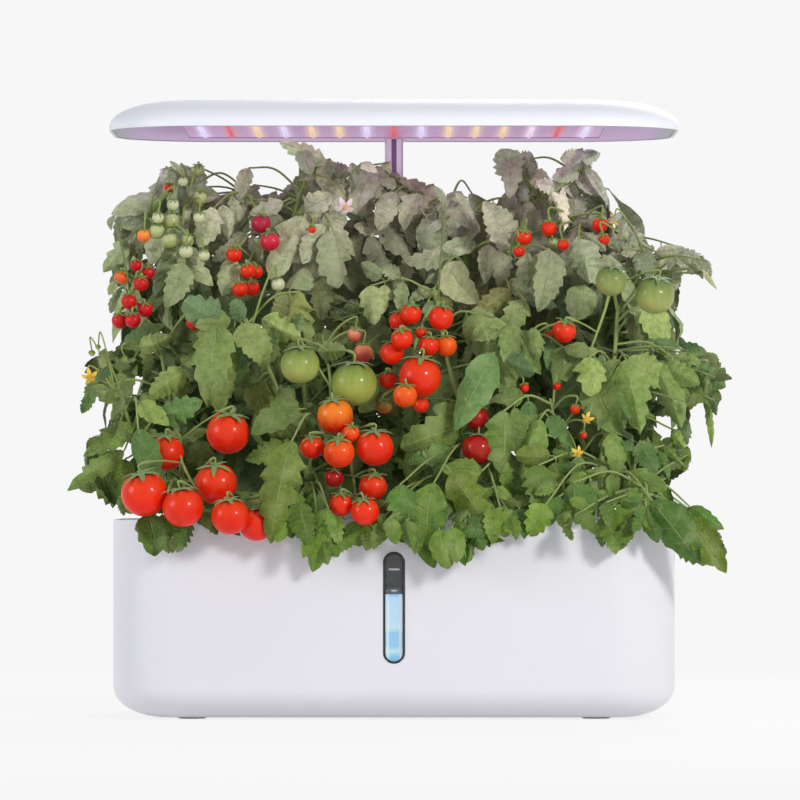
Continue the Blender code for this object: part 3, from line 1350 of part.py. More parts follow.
def main():
    clear_scene()
    parts = new_collection("hydroponic_garden")
    cutters = new_collection("cutters")
    white = new_material("white_plastic", (0.86, 0.86, 0.89), 0.30)
    soft_white = new_material("reflector_white", (0.80, 0.76, 0.84), 0.45)
    black = new_material("black_plastic", (0.03, 0.03, 0.03), 0.25)
    grey = new_material("grey_plastic", (0.45, 0.46, 0.48), 0.40)
    clear = new_material("clear_plastic", (0.90, 0.95, 1.00), 0.05, alpha=0.25)
    water = new_material("water", (0.55, 0.78, 0.92), 0.05, alpha=0.60)
    aluminium = new_material("anodised_aluminium", (0.78, 0.74, 0.84), 0.35, metallic=1.0)
    steel = new_material("steel", (0.60, 0.60, 0.62), 0.30, metallic=1.0)
    rubber = new_material("rubber", (0.08, 0.08, 0.08), 0.80)
    board_green = new_material("circuit_board", (0.05, 0.25, 0.12), 0.45)
    leaf_green = new_material("tomato_leaf", (0.15, 0.30, 0.08), 0.55)
    fruit_red = new_material("tomato_skin", (0.80, 0.06, 0.02), 0.20)

    build_tank(parts, cutters, white)
    build_feet(parts, rubber)
    build_window(parts, cutters, black, clear, water, grey)
    build_deck(parts, cutters, white)
    build_pole_socket(parts, cutters, white)
    build_fill_cap(parts, cutters, white)
    build_buttons(parts, cutters, white, grey)
    build_control_box(parts, cutters, white, board_green)
    build_inlet(parts, cutters, black)
    build_inlet_lead(parts, black)
    build_pump(parts, cutters, black, grey, steel)
    build_pole(parts, cutters, aluminium, white, black)
    build_lamp(parts, cutters, white, soft_white, soft_white)
    build_baskets(parts, cutters, white)
    canopy = grow_canopy()
    build_plants(canopy, parts, cutters, leaf_green)
    build_trusses(canopy, parts, cutters, fruit_red)


main()
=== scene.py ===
"""Looks of the countertop hydroponic garden: finishes, fine shells, lit lamp, full
foliage and fruit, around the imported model.

Metres, +Z up. The front faces -Y and the origin is on the floor under the base."""

import json
import math
import random

import bmesh
import bpy
import numpy as np
from mathutils import Matrix, Vector
from mathutils.bvhtree import BVHTree


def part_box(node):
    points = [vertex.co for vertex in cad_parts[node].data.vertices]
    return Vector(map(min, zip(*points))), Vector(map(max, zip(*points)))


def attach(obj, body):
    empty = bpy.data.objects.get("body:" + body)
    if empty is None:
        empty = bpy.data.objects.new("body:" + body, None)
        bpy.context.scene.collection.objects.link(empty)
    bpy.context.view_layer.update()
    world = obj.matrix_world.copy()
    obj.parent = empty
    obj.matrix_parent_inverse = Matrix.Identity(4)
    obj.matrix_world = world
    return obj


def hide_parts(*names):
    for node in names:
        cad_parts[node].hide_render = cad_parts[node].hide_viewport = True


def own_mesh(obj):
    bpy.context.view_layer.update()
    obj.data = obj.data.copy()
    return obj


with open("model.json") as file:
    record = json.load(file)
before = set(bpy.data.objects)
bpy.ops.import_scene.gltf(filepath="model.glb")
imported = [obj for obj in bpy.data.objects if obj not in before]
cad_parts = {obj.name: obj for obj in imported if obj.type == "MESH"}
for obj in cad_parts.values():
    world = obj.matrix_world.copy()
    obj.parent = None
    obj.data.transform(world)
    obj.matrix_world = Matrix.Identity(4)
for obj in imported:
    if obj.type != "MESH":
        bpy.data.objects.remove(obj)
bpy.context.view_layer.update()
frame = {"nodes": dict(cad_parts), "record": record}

# Clearances that fitted pieces share
seat_gap = 0.0003
overrun = 0.002
weld_distance = 0.00001
round_end_rest = 0.0001

# Shading and the steps of curves
smooth_angle = math.radians(38)
round_profile = 0.5
parallel_limit_share = 0.05

# Base
base_width = 0.400
base_depth = 0.250
rim_height = 0.1416
foot_height = 0.0012
foot_radius = 0.010
base_corner = 0.050
edge_run = 0.036
edge_rise = 0.022
tank_wall = 0.003
tank_floor = 0.004
deck_thickness = 0.003
deck_ledge = 0.0015
deck_drop = 0.0005
foot_x_share = 0.36
foot_y_share = 0.29

# Water window in the front wall
window_width = 0.0150
window_base_rise = 0.03925
window_rim_drop = 0.02265
bezel_ring = 0.00145
bezel_proud = 0.0008
lens_recess = 0.0006
lens_thickness = 0.002
float_travel_share = 0.5291
low_water_depth = 0.0073

# Grow baskets
basket_x_shares = (-0.375, -0.155, 0.155, 0.375)
basket_y_shares = (0.14, -0.22)
basket_radius = 0.0160
basket_taper = 0.0045
basket_depth = 0.052
basket_flange = 0.0035
basket_flange_height = 0.0016
basket_wall = 0.0014
basket_floor_hole = 0.006
plug_height = 0.030

# Fill port and the hinge of its cap
port_x_share = 0.28
port_setback = 0.031
port_width = 0.036
port_depth = 0.024
cap_margin = 0.004
hinge_barrel_radius = 0.0028

# Button panel
panel_setback = 0.069
panel_inset = 0.003
panel_depth = 0.020

# Control box
box_side_gap = 0.004

# Power inlet in the rear wall
inlet_x_share = 0.155
inlet_drop = 0.016
inlet_radius = 0.0045

# Pole
pole_setback = 0.030
pole_width = 0.0135
pole_depth = 0.0110
pole_groove_width = 0.0037
pole_groove_depth = 0.0026
pole_slack = 0.00045
pole_wall = 0.0023
pole_cap_wall = 0.002

# Lamp
lamp_width = 0.408
lamp_inset = 0.003
lamp_clear_height = 0.2784
lamp_thickness = 0.0205
lamp_corner = 0.075
lamp_edge_run = 0.045
lamp_edge_rise = 0.0180
lamp_wall = 0.0022
plate_thickness = 0.0024
plate_lift = 0.0006
led_columns = 15
led_pitch_share = 0.0483
led_margin = 0.012
led_front_inset = 0.024
led_pole_gap = 0.021
led_board_thickness = 0.0016
pole_pocket_depth = 0.0105
pole_pocket_wall = 0.004

# Heights that follow from the sizes above
tank_height = rim_height - foot_height
floor_top = foot_height + tank_floor
deck_top = rim_height - deck_drop
deck_under = deck_top - deck_thickness
lamp_under = rim_height + lamp_clear_height
lamp_top = lamp_under + lamp_thickness
front_y = -base_depth / 2
rear_y = base_depth / 2

# Sizes and places that several pieces share
window_height = rim_height - window_rim_drop - foot_height - window_base_rise
window_middle_height = foot_height + window_base_rise + window_height / 2
glass_width = window_width - 2 * bezel_ring
glass_height = window_height - 2 * bezel_ring
water_low = window_middle_height - glass_height / 2
float_travel = float_travel_share * glass_height
water_level = water_low + low_water_depth + float_travel
inlet_x = inlet_x_share * base_width
inlet_z = rim_height - inlet_drop
port_x = port_x_share * base_width
port_y = rear_y - port_setback
panel_y = rear_y - panel_setback
pole_y = rear_y - pole_setback
box_width = 2 * (min(map(abs, basket_x_shares)) * base_width - basket_radius - box_side_gap)
panel_width = box_width - 2 * panel_inset
lamp_depth = base_depth - 2 * lamp_inset
led_pitch = led_pitch_share * lamp_width
led_front_y = led_front_inset - lamp_depth / 2
led_back_y = pole_y - led_pole_gap
outer_width = pole_width + 2 * (pole_slack + pole_wall)
pocket_top = lamp_under + plate_lift + plate_thickness + pole_pocket_depth
hinge_y = port_y + port_depth / 2 + cap_margin + hinge_barrel_radius

# Picture grid: where columns and rows of the reference picture lie on the object
picture_middle_column = 394.0
picture_base_columns = 562.0
picture_rim_row = 518.6
picture_lamp_row = 127.5
eye_distance = 5.0
eye_height = 0.204
face_y_share = -0.32

# Plants
stem_radius = 0.0024
branch_radius = 0.0016
petiole_radius = 0.0008
blade_half_thickness = 0.0005
leaf_margin = 0.0006
leaf_tilt_share = 0.22
petiole_rise_share = 0.18
stem_step = 0.008
pedicel_radius = 0.0008
rachis_radius = 0.0012
lamp_leaf_gap = 0.003
rim_leaf_gap = 0.0025
deck_piece_gap = 0.009
wall_leaf_gap = 0.0015
depth_step_shares = (0, 0.05, -0.05, 0.1, -0.1, 0.16, -0.16, 0.24, -0.24, 0.32, -0.32)

# Shapes of a leaf blade: share of its length, of its width, and bow off its chord
blade_shares = ((0.30, 1.00, 0.05), (0.66, 0.80, 0.04))
leaf_fold_share = 0.10
leaf_turn_shares = ((0.25, 0.10), (-0.30, 0.05), (0.10, 0.25), (-0.15, -0.10), (0.40, -0.05),
                    (-0.45, 0.15), (0.05, -0.15))

# Which way the strips of stems, truss stalks and fruit stalks face
stem_facing_shares = (0.3, -1, 0.1)
rachis_facing_shares = (0.2, -1, 0.3)
pedicel_facing_shares = (0.1, -1, 0.2)

# How leaves and fruit are set on the stems
stem_taper_share = 0.45
knot_share = 0.55
shortest_petiole = 0.008
longest_petiole = 0.115
highest_root = 0.030
root_clearance = 0.004
stems_tried = 9
steepest_branching_share = 0.80
hang_depth_share = -1.0
rachis_marks = 4
pedicel_depth_share = 0.55
fruit_press_share = 1.02

# Stems of each plant, as (column, row, depth share) along each branch. The first
# branch of a plant grows from its basket.
stem_picks = (
    (((178, 440, 0.25), (182, 350, 0.20), (181, 260, 0.15), (192, 182, 0.15)),
     ((182, 350, 0.20), (150, 322, -0.10), (126, 292, -0.20)),
     ((181, 260, 0.15), (160, 228, 0.00), (138, 207, 0.05)),
     ((181, 330, 0.20), (172, 322, 0.62))),
    (((308, 440, 0.25), (300, 350, 0.20), (286, 260, 0.15), (302, 185, 0.12), (320, 163, 0.12)),
     ((286, 260, 0.15), (262, 218, 0.05), (246, 190, 0.10)),
     ((292, 225, 0.14), (335, 205, 0.20), (358, 172, 0.25)),
     ((300, 340, 0.20), (292, 325, 0.66))),
    (((480, 440, 0.25), (478, 350, 0.20), (466, 260, 0.15), (448, 197, 0.20)),
     ((470, 285, 0.17), (430, 240, 0.20), (412, 188, 0.30)),
     ((478, 340, 0.20), (500, 290, 0.10), (508, 256, 0.05)),
     ((478, 350, 0.20), (490, 330, 0.66))),
    (((604, 440, 0.25), (596, 350, 0.20), (581, 240, 0.15), (577, 168, 0.15)),
     ((583, 250, 0.15), (548, 205, 0.20), (520, 172, 0.20)),
     ((596, 350, 0.20), (630, 290, 0.00), (652, 252, -0.05)),
     ((598, 350, 0.20), (610, 335, 0.62))),
    (((182, 470, -0.45), (175, 420, -0.45), (165, 372, -0.40), (160, 342, -0.30)),
     ((175, 420, -0.45), (140, 402, -0.50), (108, 388, -0.50)),
     ((182, 470, -0.45), (146, 446, -0.62), (124, 430, -0.62))),
    (((306, 470, -0.45), (290, 420, -0.45), (268, 366, -0.40), (246, 318, -0.35)),
     ((304, 466, -0.45), (328, 432, -0.50), (330, 380, -0.45), (322, 335, -0.35))),
    (((475, 470, -0.45), (462, 410, -0.45), (448, 360, -0.40), (436, 290, -0.25)),
     ((473, 462, -0.45), (500, 420, -0.62), (518, 370, -0.60), (528, 332, -0.50))),
    (((600, 470, -0.45), (608, 420, -0.40), (614, 360, -0.40), (618, 305, -0.35)),
     ((609, 415, -0.40), (650, 385, -0.40), (684, 364, -0.40)),
     ((600, 468, -0.45), (636, 482, -0.70), (656, 496, -0.90)),
     ((600, 468, -0.45), (562, 442, -0.60), (550, 398, -0.60))),
)

# Leaves: base column and row, tip column and row, width in columns, depth share
leaf_picks = (
    (326, 162, 281, 140, 24, 0.10), (194, 178, 170, 160, 12, 0.10),
    (158, 196, 112, 211, 24, 0.00), (155, 216, 121, 225, 18, 0.05),
    (127, 238, 105, 271, 22, -0.10), (158, 232, 150, 262, 24, -0.10),
    (214, 206, 200, 245, 30, -0.10), (249, 166, 240, 198, 18, 0.05),
    (246, 204, 222, 222, 22, 0.10), (283, 200, 250, 212, 20, 0.05),
    (303, 215, 270, 277, 44, -0.15), (333, 228, 340, 286, 40, -0.20),
    (300, 290, 281, 350, 40, -0.35), (184, 262, 166, 306, 30, -0.25),
    (172, 250, 153, 280, 16, -0.20), (232, 256, 222, 294, 26, -0.25),
    (200, 264, 192, 288, 14, -0.15), (371, 284, 374, 323, 28, -0.20),
    (355, 163, 362, 199, 26, 0.15), (390, 160, 372, 178, 16, 0.20),
    (350, 188, 330, 215, 26, 0.10), (395, 190, 380, 228, 26, 0.10),
    (512, 174, 500, 148, 36, 0.10), (520, 160, 532, 152, 20, 0.15),
    (532, 172, 550, 184, 22, 0.20), (568, 170, 552, 204, 22, 0.10),
    (580, 158, 560, 157, 22, 0.10), (582, 157, 600, 152, 18, 0.10),
    (586, 166, 610, 204, 12, 0.05), (572, 208, 556, 216, 16, 0.10),
    (514, 246, 485, 200, 36, -0.05), (530, 200, 522, 226, 18, 0.20),
    (550, 248, 541, 310, 36, -0.32), (579, 238, 589, 282, 36, -0.30),
    (608, 244, 645, 235, 22, -0.10), (638, 252, 652, 276, 26, -0.20),
    (656, 250, 684, 246, 12, -0.15), (682, 246, 717, 288, 11, -0.15),
    (446, 262, 478, 302, 36, -0.10), (450, 195, 460, 236, 34, 0.15),
    (420, 192, 404, 228, 28, 0.15), (424, 216, 434, 256, 26, 0.05),
    (476, 242, 434, 252, 20, 0.10), (510, 288, 472, 322, 30, -0.20),
    (526, 300, 502, 334, 28, -0.30), (584, 284, 576, 318, 34, -0.25),
    (646, 306, 668, 340, 34, -0.35), (676, 262, 668, 296, 22, -0.10),
    (218, 322, 209, 405, 44, -0.60), (241, 323, 268, 367, 36, -0.55),
    (262, 318, 300, 336, 30, -0.45), (160, 416, 201, 399, 32, -0.70),
    (186, 370, 150, 396, 28, -0.60), (138, 347, 172, 336, 22, -0.40),
    (122, 346, 164, 322, 20, -0.30), (121, 396, 90, 388, 20, -0.50),
    (90, 396, 82, 412, 14, -0.50), (134, 396, 122, 410, 16, -0.55),
    (134, 424, 84, 454, 26, -0.65), (124, 450, 69, 489, 24, -0.70),
    (125, 458, 119, 498, 26, -0.60), (138, 428, 160, 487, 32, -1.02),
    (148, 513, 155, 556, 34, -1.06), (162, 514, 170, 553, 22, -1.12),
    (206, 505, 200, 531, 24, -1.05), (292, 440, 271, 544, 44, -1.10),
    (284, 444, 246, 459, 26, -0.80), (300, 415, 268, 434, 24, -0.65),
    (328, 508, 309, 571, 36, -1.16), (318, 520, 294, 531, 18, -1.12),
    (342, 514, 334, 552, 28, -1.10), (362, 520, 358, 546, 30, -1.16),
    (384, 516, 384, 541, 18, -1.08), (322, 492, 304, 512, 26, -0.90),
    (318, 350, 346, 349, 22, -0.55), (282, 388, 296, 413, 22, -0.60),
    (258, 380, 266, 414, 36, -0.45), (232, 358, 222, 396, 30, -0.40),
    (196, 440, 206, 470, 26, -0.60), (292, 410, 282, 436, 34, -0.60),
    (494, 352, 455, 429, 38, -0.80), (496, 352, 506, 408, 28, -0.75),
    (476, 312, 478, 356, 36, -0.45), (462, 424, 402, 448, 40, -0.75),
    (482, 470, 441, 469, 24, -0.90), (434, 482, 426, 565, 42, -1.10),
    (452, 488, 460, 564, 44, -1.18), (400, 484, 408, 532, 34, -1.05),
    (504, 410, 504, 472, 40, -0.80), (540, 418, 522, 482, 32, -0.70),
    (539, 464, 541, 513, 38, -0.90), (589, 356, 591, 395, 36, -0.70),
    (594, 376, 621, 434, 42, -0.62), (626, 358, 641, 429, 42, -0.62),
    (656, 360, 680, 427, 30, -0.50), (680, 350, 707, 352, 20, -0.35),
    (686, 368, 725, 386, 28, -0.42), (688, 376, 709, 404, 9, -0.45),
    (708, 400, 712, 446, 9, -0.45), (672, 428, 684, 447, 14, -0.50),
    (640, 440, 656, 471, 26, -0.70), (664, 444, 688, 469, 7, -0.60),
    (611, 432, 620, 474, 26, -0.70), (574, 482, 580, 522, 40, -0.95),
    (630, 508, 604, 530, 26, -1.05), (648, 496, 618, 526, 34, -0.98),
    (652, 500, 700, 564, 42, -1.12), (682, 514, 728, 572, 34, -1.06),
    (690, 506, 724, 529, 18, -1.00), (650, 486, 672, 508, 24, -0.85),
    (562, 508, 582, 546, 26, -1.10), (592, 514, 610, 554, 26, -1.14),
    (612, 520, 625, 544, 20, -1.18), (646, 520, 658, 541, 22, -1.20),
    (500, 506, 506, 537, 28, -1.08), (546, 504, 530, 536, 30, -1.12),
    (536, 328, 528, 368, 30, -0.75), (512, 322, 515, 378, 26, -0.68),
    (562, 345, 566, 380, 28, -0.60), (428, 300, 446, 330, 26, -0.35),
)

# Fruit trusses: the plant that bears it, its stalk as (column, row, depth share),
# and its fruit as (column, row, radius in columns, depth share)
truss_picks = (
    ("truss_front_left", 4,
     ((178, 432, -0.66), (182, 462, -0.84), (206, 497, -0.92), (240, 505, -0.96)),
     ((228, 432, 21.5, -0.86), (145, 493, 23, -1.02), (183, 507, 20, -1.22),
      (216, 483, 21, -1.02), (230, 516, 18.5, -1.26), (256, 524, 17, -1.24),
      (166, 452, 18, -0.76))),
    ("truss_centre_low", 5,
     ((322, 416, -0.62), (346, 436, -0.78), (352, 470, -0.82), (356, 496, -0.86)),
     ((312, 446, 12, -0.94), (339, 452, 15.5, -1.04), (375, 447, 18.5, -1.00),
      (335, 415, 18, -0.90), (351, 433, 9, -0.90), (334, 477, 9.5, -0.88),
      (373, 486, 14, -0.98), (341, 504, 12, -1.04), (365, 511, 14, -1.16))),
    ("truss_centre_high", 6,
     ((432, 306, -0.44), (420, 328, -0.58), (412, 356, -0.62), (402, 384, -0.66)),
     ((411, 313, 10.5, -0.72), (399, 320, 10, -0.66), (441, 317, 12.5, -0.70),
      (421, 332, 6, -0.70), (392, 352, 12, -0.70), (402, 338, 11, -0.76),
      (429, 345, 10, -0.78), (446, 345, 11, -0.74), (420, 376, 21, -0.84),
      (405, 395, 12, -0.94), (388, 379, 9, -0.68), (384, 405, 8, -0.72),
      (421, 404, 8, -0.76))),
    ("truss_green_centre", 5,
     ((316, 342, -0.50), (328, 350, -0.58)),
     ((300, 364, 19.5, -0.78), (354, 383, 23, -0.76))),
    ("truss_dark_red", 6,
     ((472, 392, -0.60), (478, 420, -0.62)),
     ((476, 417, 12, -0.80), (478, 448, 16, -0.82))),
    ("truss_left_crimson", 0,
     ((142, 262, -0.12), (136, 300, -0.22)),
     ((121, 276, 7, -0.30), (141, 282, 8, -0.34), (148, 271, 7, -0.26),
      (136, 264, 6, -0.30), (129, 300, 8, -0.36), (145, 308, 8, -0.34),
      (120, 319, 8.5, -0.32), (133, 319, 8, -0.40))),
    ("truss_left_cherry", 1,
     ((262, 236, -0.06), (247, 262, -0.10), (236, 282, -0.12)),
     ((234, 253, 8, -0.26), (248, 269, 8, -0.30), (256, 270, 7, -0.20),
      (240, 288, 8, -0.32), (252, 287, 8, -0.24), (261, 222, 10, -0.16),
      (270, 240, 10, -0.22))),
    ("truss_unripe", 0,
     ((184, 206, -0.02), (182, 228, -0.06)),
     ((171, 219, 8, -0.20), (157, 230, 8, -0.22), (170, 239, 8, -0.26),
      (187, 239, 7, -0.22), (199, 196, 8, -0.04), (198, 169, 7, 0.02))),
    ("truss_right_top", 3,
     ((568, 216, 0.02), (548, 226, -0.04), (530, 232, -0.04)),
     ((600, 221, 8, -0.12), (549, 227, 8, -0.14), (553, 242, 6, -0.16),
      (523, 235, 9, -0.10))),
    ("truss_right", 7,
     ((612, 286, -0.50), (604, 312, -0.54), (590, 350, -0.56)),
     ((611, 280, 15.5, -0.74), (655, 294, 19.5, -0.70), (564, 330, 12, -0.66))),
)

# Leaves that close the canopy at its sides and back, set around an oval in rows
ring_row_shares = ((0.20, 0.90), (0.42, 1.00), (0.64, 0.96), (0.86, 0.80))
ring_leaves = 11
ring_start_angle = math.radians(-28)
ring_end_angle = math.radians(208)
ring_leaf_length = 0.050
ring_leaf_width = 0.032
ring_leaf_reach = 0.020
ring_stagger_share = 0.5
ring_width_share = 0.49
ring_depth_share = 0.40
ring_middle_share = 0.08
ring_pull_shares = (1.0, 0.9, 0.8)

# Long leaves that hang over the rear wall
rear_hang_x_shares = (-0.40, -0.24, -0.10, 0.12, 0.26, 0.40)
rear_hang_base_lift = 0.035
rear_hang_drop = 0.060
rear_hang_reach = 0.034
rear_hang_width = 0.030


def block_mesh(size, corner=0.0, run=0.0, rise=0.0, low=True, corner_steps=5, edge_steps=4):
    """A block around the origin with round upright corners, and an elliptical
    edge around its bottom or top that runs in by run and rises by rise."""
    bm = bmesh.new()
    bmesh.ops.create_cube(bm, size=1.0)
    stretch = run / rise if run else 1.0
    bmesh.ops.scale(bm, vec=(size[0], size[1], size[2] * stretch), verts=bm.verts)
    if corner:
        upright = [e for e in bm.edges if abs(e.verts[0].co.z - e.verts[1].co.z) > weld_distance]
        bmesh.ops.bevel(bm, geom=upright, offset=corner, segments=corner_steps, profile=round_profile,
                        affect="EDGES", clamp_overlap=True)
    if run:
        side = -1 if low else 1
        level = side * size[2] * stretch / 2
        rim = [e for e in bm.edges if all(abs(v.co.z - level) < weld_distance for v in e.verts)]
        bmesh.ops.bevel(bm, geom=rim, offset=run, segments=edge_steps, profile=round_profile,
                        affect="EDGES", clamp_overlap=True)
    bmesh.ops.scale(bm, vec=(1, 1, 1 / stretch), verts=bm.verts)
    return bm


def moved(bm, place):
    bmesh.ops.translate(bm, vec=Vector(place), verts=bm.verts)
    return bm


def turned_to_y(bm):
    bmesh.ops.rotate(bm, cent=(0, 0, 0), matrix=Matrix.Rotation(math.pi / 2, 3, "X"), verts=bm.verts)
    return bm


def cylinder_mesh(radius, length, sides):
    bm = bmesh.new()
    bmesh.ops.create_cone(bm, cap_ends=True, segments=sides, radius1=radius, radius2=radius, depth=length)
    return bm


def span_block(low, high, **shape):
    """A block between two corners."""
    low, high = Vector(low), Vector(high)
    return moved(block_mesh(high - low, **shape), (low + high) / 2)


def basket_spots():
    return [(x * base_width, y * base_depth) for y in basket_y_shares for x in basket_x_shares]


def from_picture(column, row, depth_share):
    """The point at a picture column and row, at a depth in halves of the base's depth."""
    y = depth_share * base_depth / 2
    x = (column - picture_middle_column) / picture_base_columns * base_width
    z = rim_height + (picture_rim_row - row) / (picture_rim_row - picture_lamp_row) * lamp_clear_height
    spread = 1 + (y - face_y_share * base_depth) / eye_distance
    return Vector((x * spread, y, eye_height + (z - eye_height) * spread))


def picture_length(columns):
    return columns / picture_base_columns * base_width


def across(direction, facing):
    """Side and face directions of a flat strip that runs along direction."""
    direction = direction.normalized()
    side = facing.cross(direction)
    if side.length < parallel_limit_share:
        side = Vector((1, 0, 0)).cross(direction)
    side.normalize()
    return side, direction.cross(side).normalized()


def add_loft(bm, sections):
    """A closed four-sided loft. A section is a centre, a side offset, a face offset and
    how far the sides lie back from the centre; the last section is a point."""
    outlines = []
    for centre, side, face, fold in sections[:-1]:
        outline = [centre - side - fold, centre - face, centre + side - fold, centre + face]
        if outlines:
            turns = [outline[step:] + outline[:step] for step in range(4)]
            outline = min(turns, key=lambda turn: sum((a - b).length for a, b in zip(turn, outlines[-1])))
        outlines.append(outline)
    rings = [[bm.verts.new(point) for point in outline] for outline in outlines]
    bm.faces.new(rings[0][::-1])
    for low, high in zip(rings, rings[1:]):
        for step in range(4):
            nxt = (step + 1) % 4
            bm.faces.new((low[step], low[nxt], high[nxt], high[step]))
    tip = bm.verts.new(sections[-1][0])
    for step in range(4):
        bm.faces.new((rings[-1][step], rings[-1][(step + 1) % 4], tip))


def stem_sections(points, radii, facing):
    sections = []
    for number, point in enumerate(points):
        ahead = points[min(number + 1, len(points) - 1)] - points[max(number - 1, 0)]
        side, face = across(ahead, facing)
        sections.append((point, side * radii[number], face * radii[number], Vector()))
    end = points[-1] + (points[-1] - points[-2]).normalized() * radii[-1]
    sections.append((end, Vector(), Vector(), Vector()))
    return sections


def stalk_knee(root, base):
    """The middle of a leaf stalk, which bows up."""
    return (root + base) / 2 + Vector((0, 0, (base - root).length * petiole_rise_share))


def stalk_start(root, base):
    return (stalk_knee(root, base) - root).normalized()


def leaf_sections(leaf, margin=0.0, start=0.0):
    """The loft of a leaf, from its root or from a distance along its stalk."""
    root, base, tip, width, facing = leaf
    run = tip - base
    side, face = across(run, facing)
    knee = stalk_knee(root, base)
    root = root + stalk_start(root, base) * start
    stalk = petiole_radius + margin
    thin = blade_half_thickness + margin
    stalk_side, stalk_face = across(base - root, Vector((0, 0, 1)))
    sections = [(root, stalk_side * stalk, stalk_face * stalk, Vector()),
                (knee, stalk_side * stalk, stalk_face * stalk, Vector()),
                (base, side * stalk, face * stalk, Vector())]
    for share, width_share, bow_share in blade_shares:
        centre = base + run * share + face * (run.length * bow_share)
        sections.append((centre, side * (width * width_share / 2 + margin), face * thin,
                         face * (width * leaf_fold_share)))
    sections.append((tip + run.normalized() * margin, Vector(), Vector(), Vector()))
    return sections


def loft_mesh(*lofts):
    bm = bmesh.new()
    for sections in lofts:
        add_loft(bm, sections)
    return bm


def loft_tree(*lofts):
    bm = loft_mesh(*lofts)
    tree = BVHTree.FromBMesh(bm)
    bm.free()
    return tree


def hardware_boxes():
    """Spaces that leaves keep out of: the base, what stands on the deck, the swing of
    the fill cap, the pole and the lamp."""
    half_width = base_width / 2 + wall_leaf_gap
    half_depth = base_depth / 2 + wall_leaf_gap
    above = deck_top + deck_piece_gap
    base = ((-half_width, -half_depth, -rim_height), (half_width, half_depth, rim_height + rim_leaf_gap))
    lamp = ((-lamp_width, -lamp_width, lamp_under - lamp_leaf_gap), (lamp_width, lamp_width, 2 * lamp_top))
    panel = ((-panel_width / 2, panel_y - panel_depth / 2, 0),
             (panel_width / 2, panel_y + panel_depth / 2, above))
    boxes = [base, lamp, panel]
    reach = basket_radius + basket_flange + wall_leaf_gap
    for x, y in basket_spots():
        boxes.append(((x - reach, y - reach, 0), (x + reach, y + reach, above)))
    swing = port_depth + 2 * cap_margin + hinge_barrel_radius
    side = port_width / 2 + 2 * cap_margin
    boxes.append(((port_x - side, hinge_y - swing - cap_margin, 0),
                  (port_x + side, hinge_y + 2 * cap_margin, deck_top + swing + 2 * cap_margin)))
    reach = outer_width / 2 + pole_cap_wall + wall_leaf_gap
    boxes.append(((-reach, pole_y - reach, 0), (reach, pole_y + reach, 2 * lamp_top)))
    return boxes


def box_tree(box):
    bm = span_block(*box)
    tree = BVHTree.FromBMesh(bm)
    bm.free()
    return tree


def inside(point, box):
    """Whether a point lies in a box, which is given by two corners."""
    return all(low <= value <= high for low, value, high in zip(box[0], point, box[1]))


